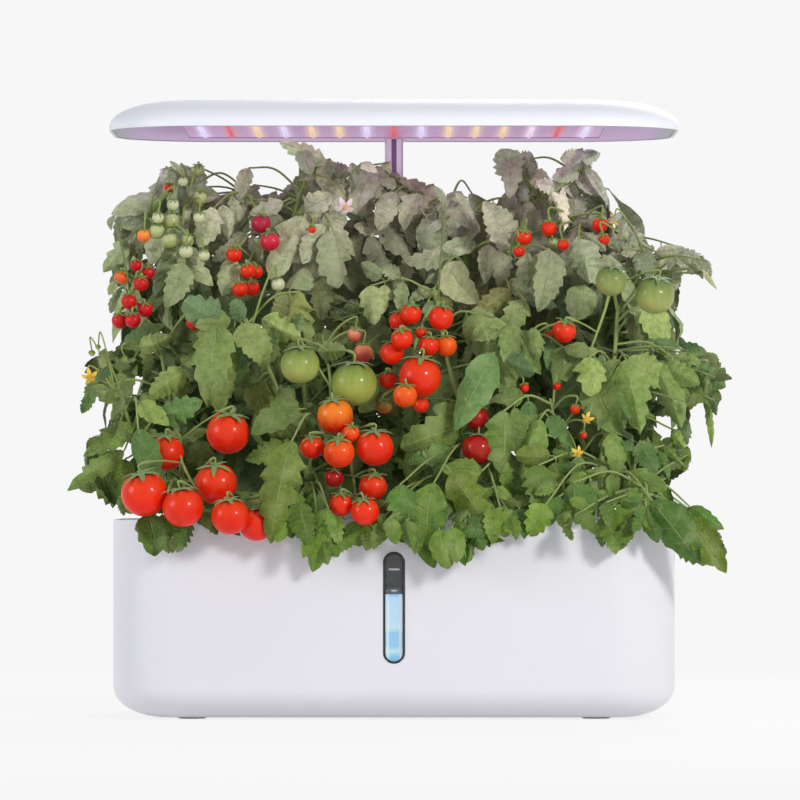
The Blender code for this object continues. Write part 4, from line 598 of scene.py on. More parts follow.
class Canopy:
    """Grows stems, trusses and leaves so that no two pieces of unlike owners meet."""

    def __init__(self):
        self.boxes = [(box, box_tree(box)) for box in hardware_boxes()]
        self.solids = []
        self.samples = []
        self.stems = [[] for _ in stem_picks]
        self.leaves = [[] for _ in stem_picks]
        self.trusses = []

    def add_stems(self):
        for plant, branches in enumerate(stem_picks):
            spot = basket_spots()[plant]
            for number, picks in enumerate(branches):
                points = [from_picture(*pick) for pick in picks]
                if number == 0:
                    points.insert(0, Vector((*spot, plug_top() - stem_radius)))
                    points.insert(1, Vector((*spot, deck_top + deck_piece_gap)))
                else:
                    points[0] = self.nearest(points[0], [plant])[0][1]
                thick = stem_radius if number == 0 else branch_radius
                last = len(points) - 1
                radii = [thick * (1 - stem_taper_share * step / last) for step in range(last + 1)]
                sections = stem_sections(points, radii, Vector(stem_facing_shares))
                self.stems[plant].append(sections)
                self.solids.append((plant, loft_tree(sections)))
                start = 1 if number == 0 else 0
                self.sample(plant, points[start:], radii[start:])

    def sample(self, plant, points, radii):
        """Knots along a stem, clear of its bends, where one leaf or truss each can grow."""
        for low, high, thick in zip(points, points[1:], radii[1:]):
            steps = max(1, round((high - low).length / stem_step))
            for step in range(steps):
                knot = low.lerp(high, (step + knot_share) / steps)
                self.samples.append((plant, knot, thick, (high - low).normalized()))

    def nearest(self, point, plants):
        picked = [sample for sample in self.samples if sample[0] in plants]
        return sorted(picked, key=lambda sample: (sample[1] - point).length)

    def add_trusses(self):
        for name, plant, stalk_picks, fruit_picks in truss_picks:
            stalk = [from_picture(*pick) for pick in stalk_picks]
            sample = self.nearest(stalk[0], [plant])[0]
            self.samples.remove(sample)
            _, knot, thick, _ = sample
            away = (stalk[0] - knot).normalized()
            stalk.insert(0, knot + away * (thick + 2 * seat_gap))
            lofts = [stem_sections(stalk, [rachis_radius] * len(stalk), Vector(rachis_facing_shares))]
            fruit = self.placed_fruit(fruit_picks)
            marks = [low.lerp(high, step / rachis_marks) for low, high in zip(stalk[1:], stalk[2:])
                     for step in range(rachis_marks + 1)]
            for centre, radius in fruit:
                top = centre + Vector((0, 0, radius * pedicel_depth_share))
                crown = centre + Vector((0, 0, radius + 2 * rachis_radius))
                mark = min(marks, key=lambda point: (point - crown).length)
                lofts.append(stem_sections([mark, top], [pedicel_radius] * 2, Vector(pedicel_facing_shares)))
            self.trusses.append((name, lofts, fruit))
            bm = loft_mesh(*lofts)
            for centre, radius in fruit:
                bmesh.ops.create_icosphere(bm, subdivisions=2, radius=radius + leaf_margin,
                                           matrix=Matrix.Translation(centre))
            self.solids.append((name, BVHTree.FromBMesh(bm)))
            bm.free()

    def placed_fruit(self, picks):
        """Centres and radii of a truss's fruit, set apart in depth where they would meet."""
        placed = []
        for column, row, columns, depth_share in picks:
            centre = from_picture(column, row, depth_share)
            radius = picture_length(columns)
            for other, size in placed * 2:
                reach = (radius + size) * fruit_press_share
                flat = math.hypot(centre.x - other.x, centre.z - other.z)
                if flat < reach and (centre - other).length < reach:
                    shift = math.sqrt(reach ** 2 - flat ** 2)
                    centre.y = other.y + (shift if centre.y > other.y else -shift)
            if centre.z - radius < rim_height + rim_leaf_gap:
                centre.y = min(centre.y, front_y - wall_leaf_gap - radius)
            placed.append((centre, radius))
        return placed

    def is_clear(self, plant, leaf):
        """Whether a leaf keeps off the hardware, leaves, trusses and the other plants' stems."""
        sections = leaf_sections(leaf, leaf_margin, root_clearance)
        points = [centre + offset for centre, side, _, _ in sections for offset in (Vector(), side, -side)]
        for box, tree in self.boxes:
            if any(inside(point, box) for point in points):
                return False
        loft = loft_tree(sections)
        if any(loft.overlap(tree) for _, tree in self.boxes):
            return False
        return not any(owner != plant and loft.overlap(tree) for owner, tree in self.solids)

    def add_leaf(self, base, tip, width, facing):
        """Hangs a leaf from the nearest stem that it can reach, and says whether it could."""
        tried = 0
        for sample in self.nearest(base, range(len(stem_picks))):
            plant, knot, _, along = sample
            reach = (base - knot).length
            if reach > longest_petiole or tried == stems_tried:
                return False
            if reach < shortest_petiole or knot.z > base.z + highest_root:
                continue
            if abs(stalk_start(knot, base).dot(along)) > steepest_branching_share:
                continue
            tried += 1
            leaf = (knot, base, tip, width, facing)
            if self.is_clear(plant, leaf):
                self.samples.remove(sample)
                self.leaves[plant].append(leaf)
                self.solids.append(("leaf", loft_tree(leaf_sections(leaf, start=root_clearance))))
                return True
        return False

    def add_picture_leaves(self):
        for number, (column, row, tip_column, tip_row, columns, depth) in enumerate(leaf_picks):
            turn = leaf_turn_shares[number % len(leaf_turn_shares)]
            for step in depth_step_shares:
                base = from_picture(column, row, depth + step)
                tip = from_picture(tip_column, tip_row, depth + step)
                tip.y -= (tip - base).length * leaf_tilt_share * (1 if depth > hang_depth_share else 0)
                if self.add_leaf(base, tip, picture_length(columns), Vector((turn[0], -1, turn[1]))):
                    break

    def add_ring_leaves(self):
        for level, (height_share, reach_share) in enumerate(ring_row_shares):
            for number in range(ring_leaves):
                share = (number + ring_stagger_share * (level % 2)) / ring_leaves
                angle = ring_start_angle + (ring_end_angle - ring_start_angle) * share
                out = Vector((math.cos(angle), math.sin(angle), 0))
                turn = leaf_turn_shares[(number + level) % len(leaf_turn_shares)]
                for pull in ring_pull_shares:
                    size = reach_share * pull
                    base = Vector((out.x * base_width * ring_width_share * size,
                                   out.y * base_depth * ring_depth_share * size
                                   + base_depth * ring_middle_share,
                                   rim_height + height_share * lamp_clear_height))
                    tip = base + out * ring_leaf_reach - Vector((0, 0, ring_leaf_length))
                    if self.add_leaf(base, tip, ring_leaf_width, out + Vector((turn[0], 0, turn[1]))):
                        break

    def add_rear_leaves(self):
        for number, share in enumerate(rear_hang_x_shares):
            base = Vector((share * base_width, rear_y + 3 * rim_leaf_gap, rim_height + rear_hang_base_lift))
            turn = leaf_turn_shares[number % len(leaf_turn_shares)]
            tip = base + Vector((turn[0] * rear_hang_drop, rear_hang_reach, -rear_hang_drop))
            self.add_leaf(base, tip, rear_hang_width, Vector((turn[0], 1, turn[1])))


def plug_top():
    """The height of the root plugs' tops in their baskets."""
    return deck_top + seat_gap + basket_flange_height - basket_depth + basket_wall + seat_gap + plug_height


def grow_canopy():
    canopy = Canopy()
    canopy.add_stems()
    canopy.add_trusses()
    canopy.add_picture_leaves()
    canopy.add_rear_leaves()
    canopy.add_ring_leaves()
    return canopy


# Camera and stage
sensor_width = 0.036
picture_width_at_object = 0.5694
camera_height = 0.170
camera_shift = (0.0075, 0.0997)
camera_reach = 20.0
background_grey = 0.930
world_strength = 0.46
floor_radius = 1.6
floor_steps = 96
floor_albedo = 0.93
floor_glow_share = 0.84
floor_glow_lift = 0.050

# Lights: place, size, watts and colour, each aimed at the middle of the object
light_target = (0.0, 0.0, 0.24)
light_places = (
    ("key_light", (1.35, -1.75, 0.95), 0.45, 26.0, (1.0, 0.985, 0.96)),
    ("fill_light", (-1.95, -1.0, 0.75), 1.00, 15.0, (0.95, 0.96, 1.0)),
    ("rear_light", (0.5, 2.0, 1.2), 1.20, 22.0, (1.0, 1.0, 1.0)),
)

# Moulded finishes: levels, roughness, scale and depth of the grain, and weight of the coat
moulded_finishes = {
    "shell_white": ((233, 233, 240), 0.32, 900.0, 0.00002, 0.15),
    # The hood's white is the shell's white made lighter, as painted light on the hood
    "hood_white_lit": ((243, 245, 255), 0.48, 900.0, 0.00002, 0.0),
    "deck_white": ((226, 226, 232), 0.55, 1400.0, 0.00006, 0.0),
    "black_trim": ((24, 24, 26), 0.28, 900.0, 0.00002, 0.3),
    "black_plastic": ((30, 30, 32), 0.5, 1200.0, 0.00005, 0.0),
    "grey_plastic": ((150, 152, 158), 0.45, 1200.0, 0.00004, 0.0),
    "foot_rubber": ((222, 216, 216), 0.8, 800.0, 0.0001, 0.0),
    "float_grey": ((92, 98, 106), 0.5, 1200.0, 0.00004, 0.0),
    "mark_print": ((176, 178, 182), 0.6, 1200.0, 0.00002, 0.0),
    "lead_black": ((22, 22, 24), 0.6, 1500.0, 0.00004, 0.0),
}

# Fine shells
fine_corner_steps = 18
fine_edge_steps = 12
fine_sides = 48
small_bevel = 0.0006
foot_bevel = 0.0004
slender_bevel = 0.0004
bevel_steps = 3
bevelled_nodes = ("fill_cap", "button_panel", "light_button", "pump_button", "timer_button", "pole_cap",
                  "pole_socket", "pole_outer", "pole_inner", "power_inlet", "control_box", "pump_body",
                  "pump_cover")
plug_radius = basket_radius - basket_taper - basket_wall - seat_gap
plug_sides = 28
# Root plug from its foot up: share of its height and of its radius
plug_profile = ((0.0, 0.86), (0.5, 0.94))
plug_edge = 0.0012

# Window: round of the bezel, hollow of the water's top, and printed marks
bezel_round = 0.0007
meniscus_rise = 0.0006
meniscus_power = 4
water_steps = 12
# Level marks: height, width and thickness of each
mark_places = ((0.1068, 0.0078, 0.0014), (0.0918, 0.0040, 0.0012))
mark_thickness = 0.0002

# Lit diodes: rows in each column, their size, and their light by column from left to right
diode_rows = 12
diode_size = 0.0034
diode_height = 0.0007
chip_corners = ((-1, -1), (1, -1), (1, 1), (-1, 1))
chip_dim = 0.9
dome_radius = 0.0012
dome_sides = 12
# Dome from its tip up: height and radius as shares of its own radius
dome_profile = ((0.62, 0.05), (0.55, 0.40), (0.38, 0.72), (0.16, 0.94), (-0.05, 1.0), (-0.2, 1.0))
smallest_ring = 0.0001
glow_reach = 0.0036
board_steps_between = 6
board_levels = (178, 140, 184)
diode_levels = {"blue": (226, 216, 250), "yellow": (242, 210, 178), "pink": (238, 216, 240),
                "red": (218, 108, 124)}
diode_order = ("blue", "red", "yellow", "blue", "yellow", "yellow", "blue", "red", "blue", "yellow",
               "yellow", "yellow", "pink", "red", "blue")

# Leaflets: where their columns of points lie, as shares of the half width
column_shares = (-1.0, -0.84, -0.5, -0.16, 0.0, 0.16, 0.5, 0.84, 1.0)
# Rows of points in a tooth: share of its length, and how far out they reach from the notch
tooth_shares = ((0.0, 0.0), (0.34, 0.50), (0.70, 1.0))
# Where in a tooth its side vein runs, and where the first and the last tooth lie
vein_share = 0.70
first_tooth_share = 0.12
last_tooth_share = 0.90
# Powers of the distance from the base and from the tip that shape the outline
outline_powers = (0.50, 0.92)
# Leaflet shapes: number of teeth on each side, and their depth
leaflet_kinds = ((3, 0.20), (3, 0.30), (4, 0.14), (4, 0.24), (4, 0.32), (5, 0.18), (5, 0.28), (6, 0.16))
shapes_of_kind = 3
least_reach_share = 0.03
# How leaflets bend: folds along the midrib, the chance of the first one, then the least
# and the spread of bow, curl and wave
leaf_folds = (-0.20, 0.18)
first_fold_chance = 0.6
leaf_bow = (0.05, 0.03)
leaf_curl = (0.04, 0.10)
leaf_wave = (0.05, 0.08)
leaf_sickle = 0.08
leaf_twist = 1.1
untwisted_share = 0.35
# How far teeth sweep to the tip: slope, where it starts, its limits, and power across
tooth_sweep = (0.55, 0.20, -0.14, 0.30, 1.3)
vein_slant = 0.55
pillow_height_share = 0.040
midrib_height_share = 0.035
sheet_thickness = 0.0005
sheet_edge_thickness = 0.00012

# Seeds of the random draws for leaves, for truss fruit and for small fruit
leaf_seed = 7
fruit_seed = 11
small_fruit_seed = 23

# Stems and stalks: sides of each tube, and steps between the points of its path
branch_sides = 10
branch_steps = 5
stalk_sides = 6
stalk_steps = 7
side_stalk_sides = 5
pedicel_sides = 8
small_stalk_sides = 7
small_stalk_steps = 6
stem_levels = (132, 156, 78)
stalk_levels = (140, 162, 84)
truss_levels = (142, 162, 80)
sepal_levels = (96, 136, 58)

# Compound leaves: where side leaflets sit on the stalk, and how long they are, as shares
side_leaf_shares = ((0.52, 0.56), (0.80, 0.70))
single_pair_shares = ((0.72, 0.62),)
pair_stalk_length = 0.018
two_pair_stalk_length = 0.034
smallest_leaflet = 0.010
side_leaf_ahead = 0.35
side_leaf_droop = 0.22
side_leaf_dim = 0.92
# Pale glints of lamp light on the leaves: where they start, and how far up they grow
glint_low = 0.31
glint_span = 0.10
# Greens low down, half way up, and near the lamp at the left and at the right. The pale,
# lilac greens near the lamp are painted lamp light
leaf_greens = ((106, 138, 42), (140, 160, 92), (230, 232, 196), (248, 236, 224))
middle_level = 0.5
top_level_span = 0.40
# The leaves right under the lamp lose these shares of red, green and blue
lamp_loss = (0.28, 0.02, 0.20)
lamp_loss_level = 0.88
lamp_loss_span = 0.08
# Odd leaflets: chance up to which one is taken, its factors low down and higher up
odd_leaves = ((0.16, (1.40, 1.30, 1.30), (1.40, 1.30, 1.30)),
              (0.40, (0.64, 0.82, 0.95), (0.74, 0.80, 0.74)),
              (0.48, (0.98, 0.84, 0.66), (1.0, 1.0, 1.0)))
odd_leaves_level = 0.6

# Cover of the picture by foliage: cell size in columns, and how far leaves may stray
cell_columns = 3.0
cover_steps = 3
stray_points_share = 0.04
filler_width_share = 0.68
knot_rise = 0.02
knot_choice = 3
# Rounds of filling leaves: row they start at, range of depth share, range of length in
# columns, dimming as painted shade, how far they turn from straight down, and how often each is tried
filler_rounds = ((0, 0.05, 0.45, 26, 50, 0.66, 0.75, 6), (0, -0.10, 0.45, 26, 50, 0.66, 0.75, 6),
                 (0, 0.10, 0.55, 36, 60, 0.55, 0.75, 6), (0, 0.20, 0.60, 44, 66, 0.50, 0.75, 6),
                 (0, -0.30, 0.60, 24, 50, 0.62, 0.75, 6), (0, -0.90, -0.15, 14, 30, 0.66, 1.40, 14),
                 (500, -1.20, -1.04, 24, 44, 0.85, 0.45, 16), (500, -1.20, -1.04, 14, 30, 0.70, 0.60, 16))
filler_rise_share = 0.05
# Where along a filling leaf its open cell may lie, how far its tip comes forward in depth
# share, and how far its face turns sideways and up
filler_back_shares = (0.25, 0.75)
filler_tip_depth = 0.08
filler_turns = ((-0.6, 0.6), (-0.3, 0.5))

# Leaves round the sides and back: rows, leaves in a row, and the shares of the lamp's
# height at which the lowest row lies and that the rows span
shell_rows = 15
shell_leaves = 34
shell_low_share = 0.06
shell_span_share = 0.86
shell_gap = 0.017
shell_leaf_length = (0.030, 0.046)
shell_dim = 0.95
# How far out they sit: middle, swing, and steps of the swing by row and by leaf
shell_reach = (0.80, 0.16, 1.9, 1.3)
shell_out_share = 0.4
shell_leans = ((-0.5, 0.5), (-0.3, 0.3))
shell_turns = ((-0.4, 0.4), (-0.2, 0.5))

# Outline of the foliage in the picture, clockwise, and places where the background
# shows through it, as column, row and radius in columns
outline_picks = (
    (112, 211), (122, 196), (150, 188), (168, 158), (205, 160), (208, 188), (225, 194), (238, 170),
    (256, 172), (262, 190), (285, 186), (300, 168), (281, 139), (305, 137), (330, 156), (345, 162),
    (372, 158), (392, 166), (412, 180), (440, 182), (462, 190), (480, 215), (485, 200), (502, 196),
    (505, 178), (491, 150), (512, 145), (532, 150), (552, 180), (560, 150), (572, 146), (602, 148),
    (592, 165), (612, 203), (640, 230), (655, 246), (684, 242), (708, 254), (719, 289), (700, 276),
    (684, 270), (678, 300), (677, 330), (690, 345), (712, 348), (733, 378), (720, 392), (716, 448),
    (706, 446), (704, 404), (692, 404), (690, 470), (672, 480), (666, 495), (715, 518), (735, 574),
    (700, 568), (668, 545), (655, 543), (640, 527), (626, 548), (610, 556), (590, 532), (576, 548),
    (555, 522), (530, 538), (505, 540), (478, 552), (462, 568), (428, 568), (404, 542), (380, 547),
    (345, 553), (310, 574), (294, 536), (270, 547), (248, 538), (204, 534), (172, 556), (154, 559),
    (138, 532), (118, 512), (96, 492), (67, 491), (86, 466), (82, 455), (86, 440), (106, 424),
    (92, 408), (78, 402), (86, 388), (86, 355), (104, 348), (122, 345), (116, 330), (122, 310),
    (110, 322), (106, 290), (110, 270), (103, 262), (116, 240), (106, 222),
)
gap_picks = ((100, 412, 11), (135, 385, 8), (120, 448, 9), (665, 425, 9), (455, 172, 16))


class Shape:
    """Points, faces, finishes, colours and marks of a piece in the making."""

    def __init__(self):
        self.points, self.faces, self.slots, self.tones, self.marks = [], [], [], [], []
        self.crowns = []
        self.count = 0

    def add(self, points, faces, slots, tone, marks=None, crown=None):
        """Adds points and faces. The tone is one colour or one for each point."""
        points = np.asarray(points, float)
        size = len(points)
        self.points.append(points)
        self.faces.extend(tuple(corner + self.count for corner in face) for face in faces)
        self.slots.extend([slots] * len(faces) if isinstance(slots, int) else slots)
        self.tones.append(np.broadcast_to(np.asarray(tone, float), (size, 3)))
        self.crowns.append(np.broadcast_to(np.asarray(tone if crown is None else crown, float), (size, 3)))
        self.marks.append(np.zeros((size, 3)) if marks is None else np.asarray(marks, float))
        self.count += size

    def piece(self, name, body, slot, finishes, replaces=()):
        """Turns what was added into one piece of the scene."""
        mesh = bpy.data.meshes.new(name)
        mesh.from_pydata(np.concatenate(self.points).tolist(), [], self.faces)
        for finish in finishes:
            mesh.materials.append(finish)
        mesh.polygons.foreach_set("material_index", self.slots)
        for attribute, colors in (("tone", self.tones), ("crown", self.crowns)):
            colors = np.concatenate(colors)
            colors = np.concatenate([colors, np.ones((len(colors), 1))], axis=1)
            layer = mesh.color_attributes.new(attribute, "FLOAT_COLOR", "POINT")
            layer.data.foreach_set("color", colors.ravel())
        marks = np.concatenate(self.marks)
        mesh.attributes.new("mark", "FLOAT_VECTOR", "POINT").data.foreach_set("vector", marks.ravel())
        return set_piece(name, mesh, body, replaces)


def add_object(name, data):
    item = bpy.data.objects.new(name, data)
    bpy.context.scene.collection.objects.link(item)
    return item


def set_piece(name, mesh, body, replaces=()):
    """A smooth-shaded piece that rides on a body and stands for the nodes it replaces."""
    mesh.update()
    mesh.shade_smooth()
    mesh.set_sharp_from_angle(angle=smooth_angle)
    item = add_object(name, mesh)
    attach(item, body)
    if replaces:
        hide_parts(*replaces)
    return item


def linear(*levels):
    """A colour in linear light from its 0 to 255 levels."""
    shares = [level / 255 for level in levels]
    return tuple(share / 12.92 if share <= 0.04045 else ((share + 0.055) / 1.055) ** 2.4
                 for share in shares)


class Finish:
    """A procedural material in the making."""

    def __init__(self, name, **constants):
        self.material = bpy.data.materials.new(name)
        self.material.use_nodes = True
        self.tree = self.material.node_tree
        self.shader = self.tree.nodes["Principled BSDF"]
        for socket, value in constants.items():
            self.shader.inputs[socket.replace("_", " ")].default_value = value

    def add(self, kind, inputs=(), **settings):
        node = self.tree.nodes.new(kind)
        for setting, value in settings.items():
            setattr(node, setting, value)
        for socket, value in dict(inputs).items():
            if isinstance(value, bpy.types.NodeSocket):
                self.tree.links.new(value, node.inputs[socket])
            else:
                node.inputs[socket].default_value = value
        return node

    def link(self, output, socket):
        self.tree.links.new(output, self.shader.inputs[socket])

    def place(self):
        return self.add("ShaderNodeTexCoord").outputs["Object"]

    def noise(self, scale, detail=3.0, stretch=None):
        place = self.place()
        if stretch:
            place = self.add("ShaderNodeMapping", {"Vector": place, "Scale": stretch}).outputs[0]
        return self.add("ShaderNodeTexNoise", {"Vector": place, "Scale": scale,
                                               "Detail": detail}).outputs["Fac"]

    def attribute(self, name, output="Color"):
        return self.add("ShaderNodeAttribute", attribute_name=name).outputs[output]

    def split(self, vector):
        return self.add("ShaderNodeSeparateXYZ", {"Vector": vector}).outputs

    def sum(self, operation, *values):
        return self.add("ShaderNodeMath", dict(enumerate(values)), operation=operation).outputs[0]

    def mix(self, factor, first, second, blend="MIX"):
        mix = self.add("ShaderNodeMix", data_type="RGBA", blend_type=blend)
        for number, value in ((0, factor), (6, first), (7, second)):
            if isinstance(value, bpy.types.NodeSocket):
                self.tree.links.new(value, mix.inputs[number])
            else:
                mix.inputs[number].default_value = (*value, 1.0) if number else value
        return mix.outputs[2]

    def ramp(self, factor, *stops):
        """Stops are a place from 0 to 1 and a colour or a grey."""
        ramp = self.add("ShaderNodeValToRGB", {"Fac": factor})
        elements = ramp.color_ramp.elements
        for number, (place, color) in enumerate(stops):
            element = elements[number] if number < 2 else elements.new(place)
            element.position = place
            element.color = (*color, 1.0) if isinstance(color, tuple) else (color, color, color, 1.0)
        return ramp.outputs["Color"]

    def bump(self, height, distance, strength=1.0):
        bump = self.add("ShaderNodeBump", {"Height": height, "Distance": distance,
                                           "Strength": strength})
        before = self.shader.inputs["Normal"].links
        if before:
            self.tree.links.new(before[0].from_socket, bump.inputs["Normal"])
        self.link(bump.outputs["Normal"], "Normal")

    def glow(self, color, strength):
        """The surface has this colour and shines in it."""
        self.link(color, "Base Color")
        self.link(color, "Emission Color")
        self.shader.inputs["Emission Strength"].default_value = strength


def moulded(name, color, roughness, grain, distance, **constants):
    """Moulded plastic or rubber: a fine grain, and a tone that drifts a little."""
    finish = Finish(name, Roughness=roughness, **constants)
    drift = finish.noise(14.0, 2.0)
    darker = tuple(level * 0.965 for level in color)
    finish.link(finish.mix(drift, color, darker), "Base Color")
    finish.link(finish.ramp(finish.noise(60.0, 2.0), (0.3, roughness * 0.9), (0.7, roughness * 1.1)),
                "Roughness")
    finish.bump(finish.noise(grain, 2.0), distance)
    return finish.material


def metal(name, color, roughness, stretch):
    """Drawn or anodised metal with fine lines along it."""
    finish = Finish(name, Metallic=1.0, Roughness=roughness)
    lines = finish.noise(1.0, 3.0, stretch)
    finish.link(finish.mix(lines, color, tuple(level * 0.86 for level in color)), "Base Color")
    finish.bump(lines, 0.00001, 0.6)
    return finish


def pole_metal_finish():
    """Anodised pole, with painted shade in the groove of its front and towards its side edges."""
    finish = metal("pole_metal", linear(250, 242, 255), 0.36, (900.0, 900.0, 12.0))
    side, depth, _ = finish.split(finish.place())
    near = finish.sum("LESS_THAN", finish.sum("ABSOLUTE", side), pole_groove_width / 2 + seat_gap)
    deep = finish.sum("GREATER_THAN", depth, pole_y - pole_depth / 2 + seat_gap)
    inner = finish.sum("LESS_THAN", depth, pole_y - pole_depth / 2 + pole_groove_depth + seat_gap)
    groove_shade = finish.sum("MULTIPLY", finish.sum("MULTIPLY", near, deep), inner)
    plain = finish.shader.inputs["Base Color"].links[0].from_socket
    # Painted shade: the pole darkens towards its rounded side edges
    edge = finish.ramp(finish.sum("DIVIDE", finish.sum("ABSOLUTE", side), pole_width / 2), (0.72, 0.0),
                       (0.90, 1.0))
    plain = finish.mix(edge, plain, linear(200, 182, 214))
    # Painted shade in the front groove
    finish.link(finish.mix(groove_shade, plain, linear(142, 110, 158)), "Base Color")
    return finish.material


def leaf_finish(name, under=False):
    """Leaf blade: each leaflet has its own tone, with a pale midrib, side veins that run
    to the teeth, pillows between them and fine hairs. The mark of a point is its share
    across the blade, its place between veins and its share along the blade."""
    finish = Finish(name, Roughness=0.62 if under else 0.50, Specular_IOR_Level=0.30, Sheen_Weight=0.12)
    across_share, vein, _ = finish.split(finish.attribute("mark", "Vector"))
    tone = finish.attribute("tone")
    offset = finish.sum("ABSOLUTE", across_share)
    mid = finish.ramp(offset, (0.015, 1.0), (0.07, 0.0))
    wander = finish.sum("MULTIPLY", finish.sum("SUBTRACT", finish.noise(120.0, 2.0), 0.5), 0.35)
    fraction = finish.sum("FRACT", finish.sum("ADD", vein, wander))
    side = finish.sum("ABSOLUTE", finish.sum("SUBTRACT", fraction, vein_share))
    veins = finish.ramp(side, (0.0, 0.7), (0.10, 0.0))
    veins = finish.sum("MULTIPLY", veins, finish.ramp(offset, (0.45, 0.8), (0.90, 0.0)))
    lines = finish.sum("MAXIMUM", mid, veins)
    net = finish.add("ShaderNodeTexVoronoi", {"Vector": finish.place(), "Scale": 420.0},
                     feature="DISTANCE_TO_EDGE").outputs["Distance"]
    net = finish.ramp(net, (0.0, 0.0), (0.22, 1.0))
    mottle = finish.noise(240.0, 5.0)
    cloud = finish.noise(60.0, 2.0)
    dark = finish.mix(1.0, tone, (0.44, 0.56, 0.42), "MULTIPLY")
    color = finish.mix(finish.ramp(mottle, (0.36, 0.0), (0.68, 0.75)), tone, dark)
    pale = finish.mix(0.5, tone, linear(200, 212, 150))
    color = finish.mix(finish.ramp(cloud, (0.50, 0.0), (0.72, 0.45)), color, pale)
    color = finish.mix(finish.sum("MULTIPLY", lines, 0.60 if under else 0.42), color, pale)
    if under:
        color = finish.mix(0.35, color, linear(176, 192, 160))
    height = finish.split(finish.place())[2]
    near_lamp = finish.sum("MULTIPLY", finish.sum("SUBTRACT", height, glint_low), 1 / glint_span)
    glints = finish.ramp(finish.noise(110.0, 2.0), (0.50, 0.0), (0.75, 0.60))
    glints = finish.sum("MULTIPLY", glints, finish.ramp(near_lamp, (0.0, 0.0), (1.0, 0.9)))
    color = finish.mix(glints, color, linear(240, 230, 238))
    finish.link(color, "Base Color")
    finish.bump(lines, 0.0006 if under else -0.0006, 0.9)
    finish.bump(net, 0.0004, 0.6)
    finish.bump(mottle, 0.0003, 0.8)
    return finish.material


def stalk_finish():
    finish = Finish("stalk_green", Roughness=0.55, Sheen_Weight=0.25)
    tone = finish.attribute("tone")
    fine = finish.noise(300.0, 3.0, (1.0, 1.0, 0.25))
    color = finish.mix(finish.ramp(fine, (0.35, 0.0), (0.7, 0.5)), tone, linear(150, 168, 96))
    finish.link(color, "Base Color")
    finish.bump(finish.noise(1400.0, 2.0), 0.0003, 0.7)
    return finish.material


def plug_finish():
    finish = Finish("seed_plug", Roughness=0.95)
    grain = finish.noise(900.0, 4.0)
    finish.link(finish.mix(grain, linear(58, 42, 30), linear(24, 17, 12)), "Base Color")
    finish.bump(grain, 0.0008)
    return finish.material


def skin_finish():
    """Fruit skin: a ripe tone with a crown tone round the stalk, faint streaks down from
    it and a wax gloss. The mark holds the height share and the crown's reach."""
    finish = Finish("tomato_skin", Roughness=0.42, Specular_IOR_Level=0.12, Coat_Weight=0.28,
                    Coat_Roughness=0.12, Subsurface_Weight=0.06,
                    Subsurface_Radius=(0.004, 0.0015, 0.0008))
    height, _, reach = finish.split(finish.attribute("mark", "Vector"))
    tone, crown = finish.attribute("tone"), finish.attribute("crown")
    streaks = finish.noise(300.0, 3.0, (1.0, 1.0, 0.2))
    level = finish.sum("ADD", finish.sum("ADD", height, reach),
                       finish.sum("MULTIPLY", finish.sum("SUBTRACT", streaks, 0.5), 0.5))
    ripe = finish.mix(finish.ramp(finish.noise(90.0, 3.0), (0.40, 0.0), (0.80, 0.10)), tone,
                      linear(255, 150, 70))
    color = finish.mix(finish.ramp(level, (0.45, 0.0), (0.95, 1.0)), ripe, crown)
    finish.link(color, "Base Color")
    finish.bump(finish.noise(260.0, 2.0), 0.0002, 0.5)
    return finish.material


def petal_finish():
    finish = Finish("petal_yellow", Roughness=0.6)
    share = finish.split(finish.attribute("mark", "Vector"))[2]
    tone = finish.attribute("tone")
    deep = finish.mix(1.0, tone, (0.86, 0.72, 0.60), "MULTIPLY")
    color = finish.mix(finish.ramp(share, (0.1, 0.0), (0.8, 1.0)), deep, tone)
    finish.link(color, "Base Color")
    finish.bump(finish.noise(700.0, 2.0), 0.0002)
    return finish.material


def lens_finish():
    finish = Finish("clear_lens", Roughness=0.06, IOR=1.45, Transmission_Weight=1.0)
    finish.link(finish.mix(finish.noise(40.0), (0.96, 0.98, 1.0), (0.90, 0.95, 1.0)), "Base Color")
    finish.bump(finish.noise(30.0, 1.0), 0.00003)
    return finish.material


def water_finish():
    """Pale blue water that glows a little as painted light, with a painted highlight streak near
    each side, and deeper blue low down between two bright bands of painted reflection."""
    finish = Finish("water_blue", Roughness=0.10, IOR=1.33, Coat_Weight=0.6)
    side, _, height = finish.split(finish.place())
    rise = finish.sum("DIVIDE", finish.sum("SUBTRACT", height, water_low), water_level - water_low)
    # The two bright bands in the column are painted reflection
    column = finish.ramp(rise, (0.0, linear(112, 192, 226)), (0.08, linear(136, 202, 230)),
                         (0.15, linear(202, 228, 236)), (0.22, linear(146, 202, 228)),
                         (0.42, linear(140, 198, 226)), (0.50, linear(202, 226, 234)),
                         (0.58, linear(192, 221, 238)), (0.94, linear(186, 220, 239)),
                         (1.0, linear(120, 186, 222)))
    # Painted highlight: a bright streak near each side
    edge = finish.ramp(finish.sum("DIVIDE", finish.sum("ABSOLUTE", side), glass_width / 2),
                       (0.50, 0.0), (0.72, 0.8), (0.84, 0.8), (0.95, 0.0))
    # The glow is painted light; the water is no lamp
    finish.glow(finish.mix(edge, column, linear(232, 244, 250)), 0.35)
    finish.bump(finish.noise(160.0, 2.0), 0.0003)
    return finish.material


